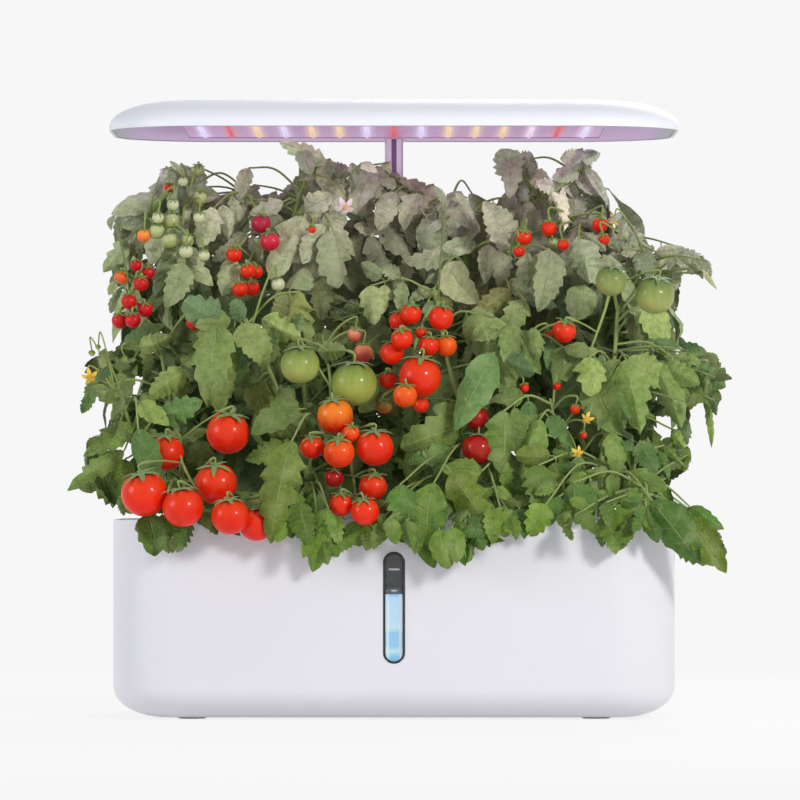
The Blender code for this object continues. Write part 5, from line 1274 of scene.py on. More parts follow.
def plate_finish():
    """The reflector plate round the diodes, with their lilac light painted on it as a glow that greys towards
    its ends.
    """
    finish = Finish("lamp_reflector", Roughness=0.45)
    side = finish.split(finish.place())[0]
    share = finish.sum("ADD", finish.sum("DIVIDE", side, lamp_width), 0.5)
    color = finish.ramp(share, (0.0, linear(112, 126, 120)), (0.05, linear(158, 128, 172)),
                        (0.5, linear(184, 144, 182)), (0.95, linear(158, 128, 172)),
                        (1.0, linear(112, 124, 120)))
    # The glow is painted light of the diodes on the plate
    finish.glow(color, 0.42)
    finish.bump(finish.noise(900.0, 2.0), 0.00004)
    return finish.material


def glow_finish(name, strength, roughness):
    """Lit board or diode: its light has the tone of its points."""
    finish = Finish(name, Roughness=roughness)
    tone = finish.attribute("tone")
    grain = finish.ramp(finish.noise(500.0, 2.0), (0.3, 0.88), (0.7, 1.0))
    finish.glow(finish.mix(1.0, tone, grain, "MULTIPLY"), strength)
    return finish.material


def smooth_path(points, steps):
    """Points along a Catmull-Rom curve through the given ones, as an array."""
    points = [np.asarray(point, float) for point in points]
    ends = [points[0] * 2 - points[1], *points, points[-1] * 2 - points[-2]]
    run = []
    for before, start, end, after in zip(ends, ends[1:], ends[2:], ends[3:]):
        for t in np.arange(steps) / steps:
            run.append((start * 2 + (end - before) * t
                        + (before * 2 - start * 5 + end * 4 - after) * t * t
                        + (start * 3 - before - end * 3 + after) * t ** 3) / 2)
    return np.array([*run, points[-1]])


def unit(vector):
    vector = np.asarray(vector, float)
    return vector / max(np.linalg.norm(vector), 1e-9)


def sides_of(direction, facing):
    """Side and face directions of a blade that runs along direction."""
    side = np.cross(facing, direction)
    if np.linalg.norm(side) < parallel_limit_share:
        side = np.cross((1.0, 0.0, 0.0), direction)
    side = unit(side)
    return side, unit(np.cross(direction, side))


def tube_faces(rings, sides, pointed=True):
    """Faces of a closed run of rings of points, which ends in one point or in a flat face."""
    faces = [tuple(range(sides))[::-1]]
    last = (rings - 1) * sides
    for low in range(0, last, sides):
        faces += [(low + step, low + (step + 1) % sides, low + sides + (step + 1) % sides,
                   low + sides + step) for step in range(sides)]
    if pointed:
        return faces + [(last + step, last + (step + 1) % sides, last + sides) for step in range(sides)]
    return faces + [tuple(range(last, last + sides))]


def add_tube(shape, points, radii, sides, slot, tone):
    """A round closed tube through points, with a radius at each."""
    points = np.asarray(points, float)
    angles = np.arange(sides) * 2 * math.pi / sides
    side = None
    rings = []
    for number, point in enumerate(points):
        ahead = unit(points[min(number + 1, len(points) - 1)] - points[max(number - 1, 0)])
        if side is None:
            side, _ = sides_of(ahead, (0.3, -1.0, 0.2))
        side = unit(side - ahead * side.dot(ahead))
        up = np.cross(ahead, side)
        rings.append(point + radii[number] * (np.cos(angles)[:, None] * side + np.sin(angles)[:, None] * up))
    tip = points[-1] + unit(points[-1] - points[-2]) * radii[-1]
    shape.add(np.concatenate([*rings, tip[None]]), tube_faces(len(points), sides), slot, tone)


class Leaflet:
    """The shape of one leaf blade: where its rows lie, and how far they reach."""

    def __init__(self, rng, teeth, depth):
        rows = [(0.0, (0.10, 0.10), 0.0), (0.035, (0.6, 0.6), 0.2)]
        span = last_tooth_share - first_tooth_share
        ends = np.cumsum([0.7 + 0.6 * rng.random() for _ in range(teeth)])
        ends = [0.0, *(ends / ends[-1])]
        for tooth in range(teeth):
            lobes = [depth * (0.5 + rng.random()) for _ in range(2)]
            for share, rise in tooth_shares:
                along = first_tooth_share + span * (ends[tooth] + (ends[tooth + 1] - ends[tooth]) * share)
                rows.append((along, [1 - lobe * (1 - rise) for lobe in lobes], tooth + share))
        rows.append((0.96, (1.0, 1.0), teeth + 0.2))
        self.along = np.array([row[0] for row in rows])
        profile = self.along ** outline_powers[0] * (1 - self.along) ** outline_powers[1]
        peak = outline_powers[0] / sum(outline_powers)
        profile /= peak ** outline_powers[0] * (1 - peak) ** outline_powers[1]
        left = np.array(column_shares)[None, :] < 0
        lobed = np.array([row[1] for row in rows])
        lobes = np.where(left, lobed[:, :1], lobed[:, 1:])
        self.reach = np.maximum(profile, least_reach_share)[:, None] * lobes
        self.vein = np.array([row[2] for row in rows])
        self.teeth = teeth
        self.faces = self.blade_faces(len(rows))

    @staticmethod
    def blade_faces(rows):
        """Faces of a closed sheet: those on top, and those underneath."""
        columns = len(column_shares)
        top = [[row * columns + column for column in range(columns)] for row in range(rows)]
        start = rows * columns
        inner = columns - 2
        low = [[top[row][0], *(start + row * inner + column for column in range(inner)), top[row][-1]]
               for row in range(rows)]
        tip = start + rows * inner
        upper, under = [], []
        for row in range(rows - 1):
            for column in range(columns - 1):
                upper.append((top[row][column], top[row + 1][column], top[row + 1][column + 1],
                              top[row][column + 1]))
                under.append((low[row][column], low[row][column + 1], low[row + 1][column + 1],
                              low[row + 1][column]))
        for column in range(columns - 1):
            upper.append((top[-1][column], tip, top[-1][column + 1]))
            under.append((low[-1][column], low[-1][column + 1], tip))
        under.append(tuple(top[0] + low[0][-2:0:-1]))
        return upper, under

    def build(self, base, tip, width, facing, rng):
        """Points and marks of the blade laid from base to tip."""
        base, tip = np.asarray(base, float), np.asarray(tip, float)
        run = tip - base
        length = np.linalg.norm(run)
        along = run / length
        side, face = sides_of(along, facing)
        shares = np.array(column_shares)
        s = self.along[:, None]
        t = shares[None, :]
        reach = self.reach * width / 2
        fold = leaf_folds[0 if rng.random() < first_fold_chance else 1] * (0.5 + rng.random())
        bow = leaf_bow[0] + leaf_bow[1] * rng.random()
        curl = leaf_curl[0] + leaf_curl[1] * rng.random()
        sickle = leaf_sickle * (rng.random() - 0.5)
        wave = leaf_wave[0] + leaf_wave[1] * rng.random()
        phase = rng.random() * 2 * math.pi
        twist = (rng.random() - 0.5) * leaf_twist * (s - untwisted_share)
        slope, start, least, most, power = tooth_sweep
        sweep = np.clip(slope * (s - start), least, most) * np.abs(t) ** power * reach
        vein = self.vein[:, None] - vein_slant * (1 - np.abs(t))
        pillow = np.cos((vein - vein_share) * 2 * math.pi)
        lift = (length * (bow * np.sin(math.pi * s) - curl * s ** 3)
                + width * (fold * np.abs(t) ** 1.4
                           - pillow_height_share * pillow * np.abs(t) * (1.05 - np.abs(t)) * 2
                           + midrib_height_share * (1 - np.abs(t)) ** 4
                           + wave * np.abs(t) * np.sin(phase + 6.5 * s + 1.9 * np.sign(t) + 1.2 * t))
                * np.minimum(1, 3 * s + 0.15) * np.clip(self.reach * 1.6, 0.2, 1))
        middle = base + s[..., None] * run + (length * sickle * np.sin(math.pi * s))[..., None] * side
        turned = np.cos(twist)[..., None] * side + np.sin(twist)[..., None] * face
        top = (middle + (reach * t)[..., None] * turned + sweep[..., None] * along
               + lift[..., None] * face)
        half = sheet_edge_thickness + (sheet_thickness - sheet_edge_thickness) * (1 - t ** 2)
        low = top - (half + 0 * s)[..., None] * face
        end = tip - face * length * curl
        marks = np.stack([t + 0 * s, vein + 0 * t, s + 0 * t], axis=-1)
        points = np.concatenate([top.reshape(-1, 3), low[:, 1:-1].reshape(-1, 3), end[None]])
        marks = np.concatenate([marks.reshape(-1, 3), marks[:, 1:-1].reshape(-1, 3),
                                [[0.0, self.teeth + 0.2, 1.0]]])
        return points, marks

    def add_to(self, shape, blade, tone):
        points, marks = blade
        upper, under = self.faces
        shape.add(points, upper + under, [0] * len(upper) + [1] * len(under), tone, marks)


def to_picture(points):
    """Picture columns and rows of points, the reverse of from_picture."""
    points = np.asarray(points, float)
    spread = 1 + (points[:, 1] - face_y_share * base_depth) / eye_distance
    x = points[:, 0] / spread
    z = eye_height + (points[:, 2] - eye_height) / spread
    column = picture_middle_column + x / base_width * picture_base_columns
    row = picture_rim_row - (z - rim_height) / lamp_clear_height * (picture_rim_row - picture_lamp_row)
    return np.stack([column, row], axis=1)


def inside_outline(places, outline):
    """Which picture places lie in a closed outline."""
    x, y = places[:, :1], places[:, 1:]
    x1, y1 = outline.T
    x2, y2 = np.roll(outline, -1, axis=0).T
    crossing = (y1 > y) != (y2 > y)
    crossing &= x < (x2 - x1) * (y - y1) / (y2 - y1 + 1e-12) + x1
    return crossing.sum(axis=1) % 2 == 1


class Foliage:
    """Dresses the canopy's stems with compound leaves: those of the solids, and more
    that fill the outline of the picture and close the sides and back."""

    def __init__(self, canopy):
        self.canopy = canopy
        self.rng = random.Random(leaf_seed)
        self.shapes = [Shape() for _ in stem_picks]
        self.kinds = [Leaflet(self.rng, *kind) for kind in leaflet_kinds
                      for _ in range(shapes_of_kind)]
        self.outline = np.array(outline_picks, float)
        boxes = np.array([box for box, _ in canopy.boxes])
        self.box_low, self.box_high = boxes[:, 0], boxes[:, 1]
        fruit = [spot for _, _, fruit in canopy.trusses for spot in fruit]
        self.fruit = np.array([centre for centre, _ in fruit])
        self.fruit_radii = np.array([radius for _, radius in fruit])
        self.fruit_places = to_picture(self.fruit)
        self.middles = []
        self.cells = set()
        knots = [(plant, knot) for plant, branches in enumerate(canopy.stems)
                 for sections in branches for knot in self.stem_knots(sections)]
        self.knot_plants = [plant for plant, _ in knots]
        self.knots = np.array([knot for _, knot in knots])

    @staticmethod
    def stem_knots(sections):
        centres = [np.array(section[0]) for section in sections[:-1]]
        knots = []
        for low, high in zip(centres[1:], centres[2:]):
            steps = max(1, round(np.linalg.norm(high - low) / (2 * stem_step)))
            knots += [low + (high - low) * (step + knot_share) / steps for step in range(steps)]
        return knots

    def tone(self, middle, painted_shade_dim=1.0):
        """The green of a leaflet: fuller low down, paler and lilac near the lamp as painted lamp
        light, and darkened by a given share as painted shade.
        """
        level = min(max((middle[2] - rim_height) / lamp_clear_height, 0.0), 1.0)
        # The two greens near the lamp are painted lamp light
        low, mid, lamp_lit_left, lamp_lit_right = (np.array(linear(*levels)) for levels in leaf_greens)
        share = min(level / middle_level, 1.0)
        tone = low * (1 - share) + mid * share
        share = min(max((level - middle_level) / top_level_span, 0.0), 1.0)
        across = min(max(middle[0] / base_width + 0.5, 0.0), 1.0)
        tone = tone * (1 - share) + (lamp_lit_left * (1 - across) + lamp_lit_right * across) * share
        share = min(max((level - lamp_loss_level) / lamp_loss_span, 0.0), 1.0)
        tone *= 1 - np.array(lamp_loss) * share
        pick = self.rng.random()
        for chance, factors_low, factors_high in odd_leaves:
            if pick < chance:
                tone = tone * np.array(factors_low if level < odd_leaves_level else factors_high)
                break
        # The last factor darkens inner and side leaves as painted shade
        return tone * painted_shade_dim * (0.76 + 0.46 * self.rng.random())

    def blocked(self, points):
        """Whether a blade runs into a fruit or into a space that leaves keep out of."""
        places = points[:, None]
        if np.any(np.all((places > self.box_low) & (places < self.box_high), axis=2)):
            return True
        gaps = np.linalg.norm(places - self.fruit, axis=2) - self.fruit_radii
        return np.min(gaps) < leaf_margin

    def hides_fruit(self, points):
        """Whether a blade lies before a fruit as the camera sees it."""
        places = to_picture(points)[:, None]
        reach = self.fruit_radii / base_width * picture_base_columns
        near = np.linalg.norm(places - self.fruit_places, axis=2) < reach * 0.95
        return np.any(near & (points[:, 1:2] < self.fruit[:, 1]))

    def strays(self, points):
        """Whether a blade reaches out of the outline or over a gap in it."""
        places = to_picture(points)
        out = ~inside_outline(places, self.outline)
        if np.mean(out) > stray_points_share:
            return True
        return any(np.any(np.hypot(places[:, 0] - column, places[:, 1] - row) < radius)
                   for column, row, radius in gap_picks)

    def cover(self, points, rows):
        """Marks the cells of the picture that a blade's top covers, apart from what the pole
        hides."""
        grid = points[:rows * len(column_shares)].reshape(rows, len(column_shares), 3)[:, 1:-1]
        for share in np.arange(cover_steps) / cover_steps:
            between = grid[:-1] * (1 - share) + grid[1:] * share
            for step in np.arange(cover_steps) / cover_steps:
                spots = (between[:, :-1] * (1 - step) + between[:, 1:] * step).reshape(-1, 3)
                spots = spots[(spots[:, 1] < pole_y) | (np.abs(spots[:, 0]) > pole_width)]
                self.cells.update(map(tuple, (to_picture(spots) // cell_columns).astype(int).tolist()))

    def put(self, plant, base, tip, width, facing, dim=1.0, tested=True, over_fruit=True):
        """Lays one leaflet, if it is clear, and says whether it did."""
        kind = self.kinds[self.rng.randrange(len(self.kinds))]
        blade = kind.build(base, tip, width, facing, self.rng)
        points = blade[0]
        if tested and (self.blocked(points) or self.strays(points)
                       or (not over_fruit and self.hides_fruit(points))):
            return False
        middle = (np.asarray(base) + np.asarray(tip)) / 2
        kind.add_to(self.shapes[plant], blade, self.tone(middle, dim))
        self.cover(points, len(kind.along))
        self.middles.append(middle)
        return True

    def stalk(self, plant, root, knee, base, tone):
        path = smooth_path([root, knee, base], stalk_steps)
        radii = np.linspace(petiole_radius * 1.25, petiole_radius * 0.8, len(path))
        add_tube(self.shapes[plant], path, radii, stalk_sides, 2, tone)
        return path

    def add_leaf(self, plant, leaf, dim=1.0, side_leaves=True, knee=None):
        """The stalk of a compound leaf on a knot, and pairs of side leaflets."""
        root, base, tip, _, facing = (np.array(value) if isinstance(value, Vector) else value
                                      for value in leaf)
        if knee is None:
            knee = np.array(stalk_knee(Vector(root), Vector(base)))
        green = np.array(linear(*stalk_levels)) * (0.85 + 0.3 * self.rng.random()) * dim
        path = self.stalk(plant, root, knee, base, green)
        length = np.linalg.norm(tip - base)
        stalk_length = np.linalg.norm(base - root)
        if not side_leaves or stalk_length < pair_stalk_length:
            return
        pairs = side_leaf_shares if stalk_length > two_pair_stalk_length else single_pair_shares
        for place_share, size_share in pairs:
            at = path[int(place_share * (len(path) - 1))]
            ahead = unit(path[-1] - path[len(path) // 2])
            side, _ = sides_of(ahead, facing)
            for sign in (-1, 1):
                size = max(length * size_share * (0.85 + 0.3 * self.rng.random()), smallest_leaflet)
                out = unit(side * sign * (0.8 + 0.3 * self.rng.random()) + ahead * side_leaf_ahead
                           + np.array((0, 0.15 * self.rng.random(), -0.35 - 0.5 * self.rng.random())))
                start = at + out * (0.10 + 0.10 * self.rng.random()) * size
                end = start + out * size + np.array((0, 0, -side_leaf_droop * size))
                turned = unit(facing) + np.array((0.5 * sign * (self.rng.random() - 0.2), 0,
                                                  0.6 * (self.rng.random() - 0.3)))
                if self.put(plant, start, end, size * (0.56 + 0.14 * self.rng.random()), turned,
                            dim * side_leaf_dim, over_fruit=False):
                    add_tube(self.shapes[plant], [at, (at + start) / 2 + (0, 0, 0.0004), start],
                             [petiole_radius * 0.7, petiole_radius * 0.6, petiole_radius * 0.5],
                             side_stalk_sides, 2, green)

    def add_solid_leaves(self):
        for plant, leaves in enumerate(self.canopy.leaves):
            for leaf in leaves:
                _, base, tip, width, facing = leaf
                self.put(plant, np.array(base), np.array(tip), width, np.array(facing), tested=False)
        for plant, leaves in enumerate(self.canopy.leaves):
            for leaf in leaves:
                self.add_leaf(plant, leaf)

    def nearest_knot(self, point):
        """One of the stem knots nearest to a point, those well above it counting as farther."""
        reach = (np.linalg.norm(self.knots - point, axis=1)
                 + 2.0 * np.maximum(0.0, self.knots[:, 2] - point[2] - knot_rise))
        pick = np.argsort(reach)[self.rng.randrange(knot_choice)]
        return self.knot_plants[pick], self.knots[pick], reach[pick]

    def add_filler(self, base, tip, width, facing, dim):
        """A leaf that hangs from a near knot, if it is clear, and whether it was laid."""
        plant, knot, reach = self.nearest_knot(base)
        if reach > longest_petiole:
            return False
        if not self.put(plant, base, tip, width, facing, dim, over_fruit=False):
            return False
        knee = (knot + base) / 2 + np.array((0, 0, filler_rise_share * np.linalg.norm(base - knot)))
        self.add_leaf(plant, (knot, base, tip, width, facing), dim, self.rng.random() < 0.5, knee)
        return True

    def fill_outline(self):
        """Adds leaves behind the front ones where the outline is still open."""
        low = self.outline.min(axis=0) // cell_columns
        high = self.outline.max(axis=0) // cell_columns
        # Each round's dim darkens its leaves and stalks as painted shade of the inner canopy
        for top_row, near, far, short, long, dim, turn, tries in filler_rounds:
            open_cells = [(column, row) for column in range(int(low[0]), int(high[0]) + 1)
                          for row in range(int(low[1]), int(high[1]) + 1)
                          if row * cell_columns >= top_row and (column, row) not in self.cells]
            places = (np.array(open_cells) + 0.5) * cell_columns
            open_cells = [cell for cell, within in zip(open_cells, inside_outline(places, self.outline))
                          if within]
            self.rng.shuffle(open_cells)
            for cell in open_cells:
                if cell in self.cells:
                    continue
                column, row = ((share + 0.5) * cell_columns for share in cell)
                for _ in range(tries):
                    depth = self.rng.uniform(near, far)
                    angle = self.rng.gauss(0.0, turn)
                    length = self.rng.uniform(short, long)
                    back = self.rng.uniform(*filler_back_shares) * length
                    shift = (math.sin(angle) * back, math.cos(angle) * back)
                    base = from_picture(column - shift[0], row - shift[1], depth)
                    tip = from_picture(column + math.sin(angle) * (length - back),
                                       row + math.cos(angle) * (length - back),
                                       depth - filler_tip_depth)
                    turn_side, turn_up = (self.rng.uniform(*limits) for limits in filler_turns)
                    facing = np.array((turn_side, -1.0, turn_up))
                    if self.add_filler(np.array(base), np.array(tip),
                                       picture_length(length) * filler_width_share, facing, dim):
                        break

    def close_sides(self):
        """Adds leaves round the sides and back where none is near."""
        reach, swing, row_step, leaf_step = shell_reach
        for row in range(shell_rows):
            height = rim_height + lamp_clear_height * (shell_low_share
                                                       + shell_span_share * row / (shell_rows - 1))
            for number in range(shell_leaves):
                share = (number + ring_stagger_share * (row % 2)) / shell_leaves
                angle = ring_start_angle + (ring_end_angle - ring_start_angle) * share
                out = np.array((math.cos(angle), math.sin(angle), 0.0))
                size = reach + swing * math.sin(row * row_step + number * leaf_step)
                middle = np.array((out[0] * base_width * ring_width_share * size,
                                   out[1] * base_depth * ring_depth_share * size
                                   + base_depth * ring_middle_share, height))
                if np.min(np.linalg.norm(np.array(self.middles) - middle, axis=1)) < shell_gap:
                    continue
                length = self.rng.uniform(*shell_leaf_length)
                lean = np.array((*(self.rng.uniform(*limits) for limits in shell_leans), -1.0))
                run = unit(out * shell_out_share + lean) * length
                turn, rise = (self.rng.uniform(*limits) for limits in shell_turns)
                turned = out + np.array((turn, 0, rise))
                self.add_filler(middle - run / 2, middle + run / 2,
                                length * filler_width_share, turned, shell_dim)

    def add_stems(self):
        for plant, branches in enumerate(self.canopy.stems):
            for sections in branches:
                centres = [np.array(section[0]) for section in sections[:-1]]
                thick = [section[1].length for section in sections[:-1]]
                path = smooth_path(centres, branch_steps)
                radii = np.interp(np.linspace(0, 1, len(path)), np.linspace(0, 1, len(thick)), thick)
                tone = np.array(linear(*stem_levels)) * (0.9 + 0.2 * self.rng.random())
                add_tube(self.shapes[plant], path, radii, branch_sides, 2, tone)

    def add_plugs(self):
        top = plug_top()
        profile = [(top - plug_height * (1 - height), plug_radius * width) for height, width in plug_profile]
        profile += [(top - plug_edge, plug_radius), (top, plug_radius - plug_edge)]
        for plant, spot in enumerate(basket_spots()):
            add_round(self.shapes[plant], spot, profile, plug_sides, 3, (1, 1, 1))


def add_round(shape, spot, profile, sides, slot, tone):
    """A closed turned shape from pairs of height and radius, low to high."""
    angles = np.arange(sides) * 2 * math.pi / sides
    rings = [np.stack([spot[0] + radius * np.cos(angles), spot[1] + radius * np.sin(angles),
                       np.full(sides, height)], axis=1) for height, radius in profile]
    shape.add(np.concatenate(rings), tube_faces(len(profile), sides, pointed=False), slot, tone)


# Fruit: levels of the ripe tone and of the crown tone, and how far the crown reaches, by
# column and row in the picture. The others have their truss's tones or the first ones.
ripe_red = ((232, 34, 8), (236, 62, 14), 0.0)
fruit_tones = {
    (339, 452): ((238, 62, 10), (246, 96, 20), 0.0),
    (351, 433): ((240, 70, 14), (246, 100, 24), 0.0),
    (365, 512): ((242, 74, 14), (248, 110, 24), 0.0),
    (446, 345): ((240, 80, 14), (246, 116, 28), 0.0),
    (405, 395): ((240, 78, 12), (246, 110, 24), 0.0),
    (121, 276): ((240, 92, 34), (244, 130, 50), 0.0),
    (384, 405): ((186, 96, 34), (130, 124, 50), 0.20),
    (335, 415): ((222, 34, 10), (244, 130, 30), 0.22),
    (476, 417): ((158, 8, 12), (176, 20, 16), 0.0),
    (478, 448): ((158, 8, 12), (176, 20, 16), 0.0),
    (334, 477): ((170, 10, 14), (186, 22, 16), 0.0),
    (261, 222): ((170, 26, 58), (180, 50, 74), 0.0),
    (270, 240): ((208, 32, 62), (212, 60, 80), 0.0),
    (300, 364): ((160, 174, 92), (118, 142, 66), 0.06),
    (354, 383): ((164, 180, 84), (124, 148, 68), 0.06),
    (611, 280): ((150, 164, 96), (112, 134, 70), 0.06),
    (655, 294): ((158, 170, 98), (114, 136, 70), 0.06),
}
truss_tones = {
    "truss_left_crimson": ((204, 12, 26), (210, 34, 34), 0.0),
    "truss_dark_red": ((160, 8, 12), (176, 20, 16), 0.0),
    "truss_unripe": ((166, 178, 112), (196, 206, 152), 0.10),
    "truss_right_top": ((160, 172, 110), (190, 200, 150), 0.10),
    "truss_green_centre": ((160, 174, 92), (118, 142, 66), 0.06),
}
fruit_sides = 32
fruit_rings = 18
fruit_lobes = 5
fruit_lobe_share = 0.018
fruit_flat_share = 0.03
fruit_dimple_share = 0.13
fruit_dimple_angle = 0.38
fruit_tilt = (0.10, 0.55)
sepal_count = (5, 6)
sepal_rows = 6
sepal_thickness = 0.0004
sepal_turn = 1.05
sepal_least_length = 0.0045
knuckle_share = 0.55
knuckle_width = 0.07
pale_berry = ((204, 212, 164), (214, 218, 182), 0.1)

# Small fruit that only the looks have: column, row, radius in columns, depth share, tones
small_fruit_picks = (
    (195, 320, 9, -0.34, ripe_red), (312, 228, 4, -0.22, ripe_red),
    (144, 234, 7, -0.22, ((250, 120, 50), (255, 160, 70), 0.1)),
    (169, 186, 5, -0.04, ripe_red), (524, 387, 5, -0.70, ripe_red),
    (575, 408, 5, -0.70, ripe_red), (583, 434, 4, -0.74, ripe_red),
    (363, 352, 10, -0.46, ((226, 92, 88), (240, 150, 110), 0.1)),
    (355, 333, 8, -0.42, ((230, 110, 90), (240, 160, 120), 0.1)),
    (548, 333, 4, -0.50, ripe_red), (568, 337, 4, -0.50, ripe_red), (557, 385, 4, -0.62, ripe_red),
    (524, 236, 8, -0.28, ripe_red), (519, 250, 6, -0.28, ripe_red), (549, 227, 8, -0.26, ripe_red),
    (563, 243, 6, -0.28, ripe_red), (600, 223, 8, -0.24, ripe_red), (604, 238, 6, -0.26, ripe_red),
    (278, 283, 7, -0.34, pale_berry), (183, 180, 5, -0.16, pale_berry), (173, 203, 6, -0.22, pale_berry),
    (199, 216, 6, -0.24, pale_berry), (186, 250, 7, -0.30, pale_berry), (204, 254, 6, -0.30, pale_berry),
    (158, 216, 6, -0.26, pale_berry),
)
# Flowers and buds: column, row, radius in columns, depth share, and the flower's tone
petal_yellow = linear(246, 214, 86)
petal_pink = linear(240, 224, 238)
flower_picks = ((90, 376, 9, -0.60, petal_yellow), (613, 219, 7, -0.24, petal_yellow),
                (587, 418, 7, -0.80, petal_yellow), (578, 452, 7, -0.86, petal_yellow),
                (345, 206, 11, -0.30, petal_pink))
bud_picks = ((92, 352, 3.0, -0.40), (125, 358, 3.0, -0.40), (98, 346, 2.4, -0.40))
bud_tones = ((196, 200, 96), (150, 170, 80), 0.2)
bud_calyx_reach = 1.6
bud_top_share = 0.85
petal_count = 5
petal_rows = 5


def turned_frame(crown):
    """Two directions square to a crown direction."""
    side = unit(np.cross(crown, (0.31, 0.95, 0.0)))
    return side, np.cross(crown, side)


def add_fruit(shape, centre, radius, crown, tones, rng, dim=1.0):
    """A lobed round fruit with a dimple at its crown."""
    side, other = turned_frame(crown)
    ripe_levels, crown_levels, reach = tones
    turn = rng.random() * 2 * math.pi
    points, heights = [], []
    for ring in range(1, fruit_rings):
        angle = math.pi * ring / fruit_rings
        for step in range(fruit_sides):
            around = 2 * math.pi * step / fruit_sides
            lobes = 1 + fruit_lobe_share * math.cos(fruit_lobes * (around + turn)) * math.exp(-angle)
            dimple = 1 - fruit_dimple_share * math.exp(-(angle / fruit_dimple_angle) ** 2)
            size = radius * lobes * (1 - fruit_flat_share * math.cos(angle) ** 4)
            out = math.cos(around) * side + math.sin(around) * other
            points.append(centre + size * (math.sin(angle) * out + math.cos(angle) * dimple * crown))
            heights.append(math.cos(angle) / 2 + 0.5)
    points += [centre + crown * radius * (1 - fruit_dimple_share - fruit_flat_share),
               centre - crown * radius * (1 - fruit_flat_share)]
    heights += [1.0, 0.0]
    top, low = len(points) - 2, len(points) - 1
    faces = [(top, step, (step + 1) % fruit_sides) for step in range(fruit_sides)]
    for ring in range(fruit_rings - 2):
        start = ring * fruit_sides
        faces += [(start + step, start + fruit_sides + step, start + fruit_sides + (step + 1) % fruit_sides,
                   start + (step + 1) % fruit_sides) for step in range(fruit_sides)]
    start = (fruit_rings - 2) * fruit_sides
    faces += [(start + step, low, start + (step + 1) % fruit_sides) for step in range(fruit_sides)]
    marks = np.zeros((len(points), 3))
    marks[:, 0] = heights
    marks[:, 2] = reach
    shape.add(points, faces, 0, np.array(linear(*ripe_levels)) * dim, marks, linear(*crown_levels))


def add_ribbon(shape, path, across_path, widths, thickness, slot, tone, marks=None):
    """A closed pointed ribbon with a ridge: four points in each row and a tip."""
    rows = []
    for number, point in enumerate(path[:-1]):
        ahead = unit(path[number + 1] - path[max(number - 1, 0)])
        side = unit(across_path - ahead * np.dot(across_path, ahead))
        up = np.cross(ahead, side)
        rows += [point - side * widths[number], point + up * thickness,
                 point + side * widths[number], point - up * thickness]
    rows.append(path[-1])
    shape.add(rows, tube_faces(len(path) - 1, 4), slot, tone, marks)


def add_calyx(shape, centre, radius, crown, rng, reach=1.0):
    """The green star on the crown of a fruit, its tips curled off the skin."""
    side, other = turned_frame(crown)
    count = rng.choice(sepal_count)
    turn = rng.random() * 2 * math.pi
    green = np.array(linear(*sepal_levels)) * (0.85 + 0.3 * rng.random())
    span = min(sepal_turn * reach, max(sepal_turn * reach * 0.8, sepal_least_length / radius))
    for number in range(count):
        around = turn + 2 * math.pi * number / count + 0.25 * (rng.random() - 0.5)
        out = math.cos(around) * side + math.sin(around) * other
        cross = np.cross(crown, out)
        lift = 0.10 + 0.25 * rng.random()
        path, widths = [], []
        for row in range(sepal_rows + 1):
            share = row / sepal_rows
            angle = 0.05 + span * share * (0.9 + 0.2 * rng.random() * share)
            size = radius * (1 - fruit_dimple_share * math.exp(-(angle / fruit_dimple_angle) ** 2)
                             + 0.03 + lift * share ** 2.5)
            path.append(centre + size * (math.sin(angle) * out + math.cos(angle) * crown))
            widths.append(radius * (0.06 + 0.10 * math.sin(math.pi * min(share * 1.15, 1.0)) ** 0.8
                                    * (1 - share * 0.5)))
        add_ribbon(shape, path, cross, widths, sepal_thickness, 1, green)


def add_flower(shape, centre, radius, facing, tone, rng):
    """A small star flower: swept petals, a cone of stamens and a green back."""
    side, other = turned_frame(facing)
    turn = rng.random() * math.pi
    for number in range(petal_count):
        around = turn + 2 * math.pi * number / petal_count
        out = math.cos(around) * side + math.sin(around) * other
        path, widths, marks = [], [], []
        for row in range(petal_rows + 1):
            share = row / petal_rows
            path.append(centre + out * radius * (0.12 + 0.88 * share)
                        - facing * radius * (0.55 * share ** 2 - 0.15 * math.sin(math.pi * share)))
            widths.append(radius * (0.10 + 0.16 * math.sin(math.pi * share ** 0.8)))
            marks += [(0, 0, share)] * (4 if row < petal_rows else 1)
        add_ribbon(shape, path, np.cross(facing, out), widths, radius * 0.03, 0, tone, marks)
    cone = [centre - facing * radius * 0.05, centre + facing * radius * 0.25, centre + facing * radius * 0.62]
    add_tube(shape, cone, [radius * 0.17, radius * 0.15, radius * 0.05], 10, 0, petal_yellow)
    back = [centre - facing * radius * 0.45, centre - facing * radius * 0.04]
    add_tube(shape, back, [radius * 0.06, radius * 0.14], 8, 1, linear(110, 150, 66))


def crown_direction(rng):
    """Which way a fruit's crown points: up its stalk, turned a little to the front."""
    lean = rng.uniform(*fruit_tilt)
    return unit(np.array((0.35 * (rng.random() - 0.5), -math.sin(lean), math.cos(lean))))


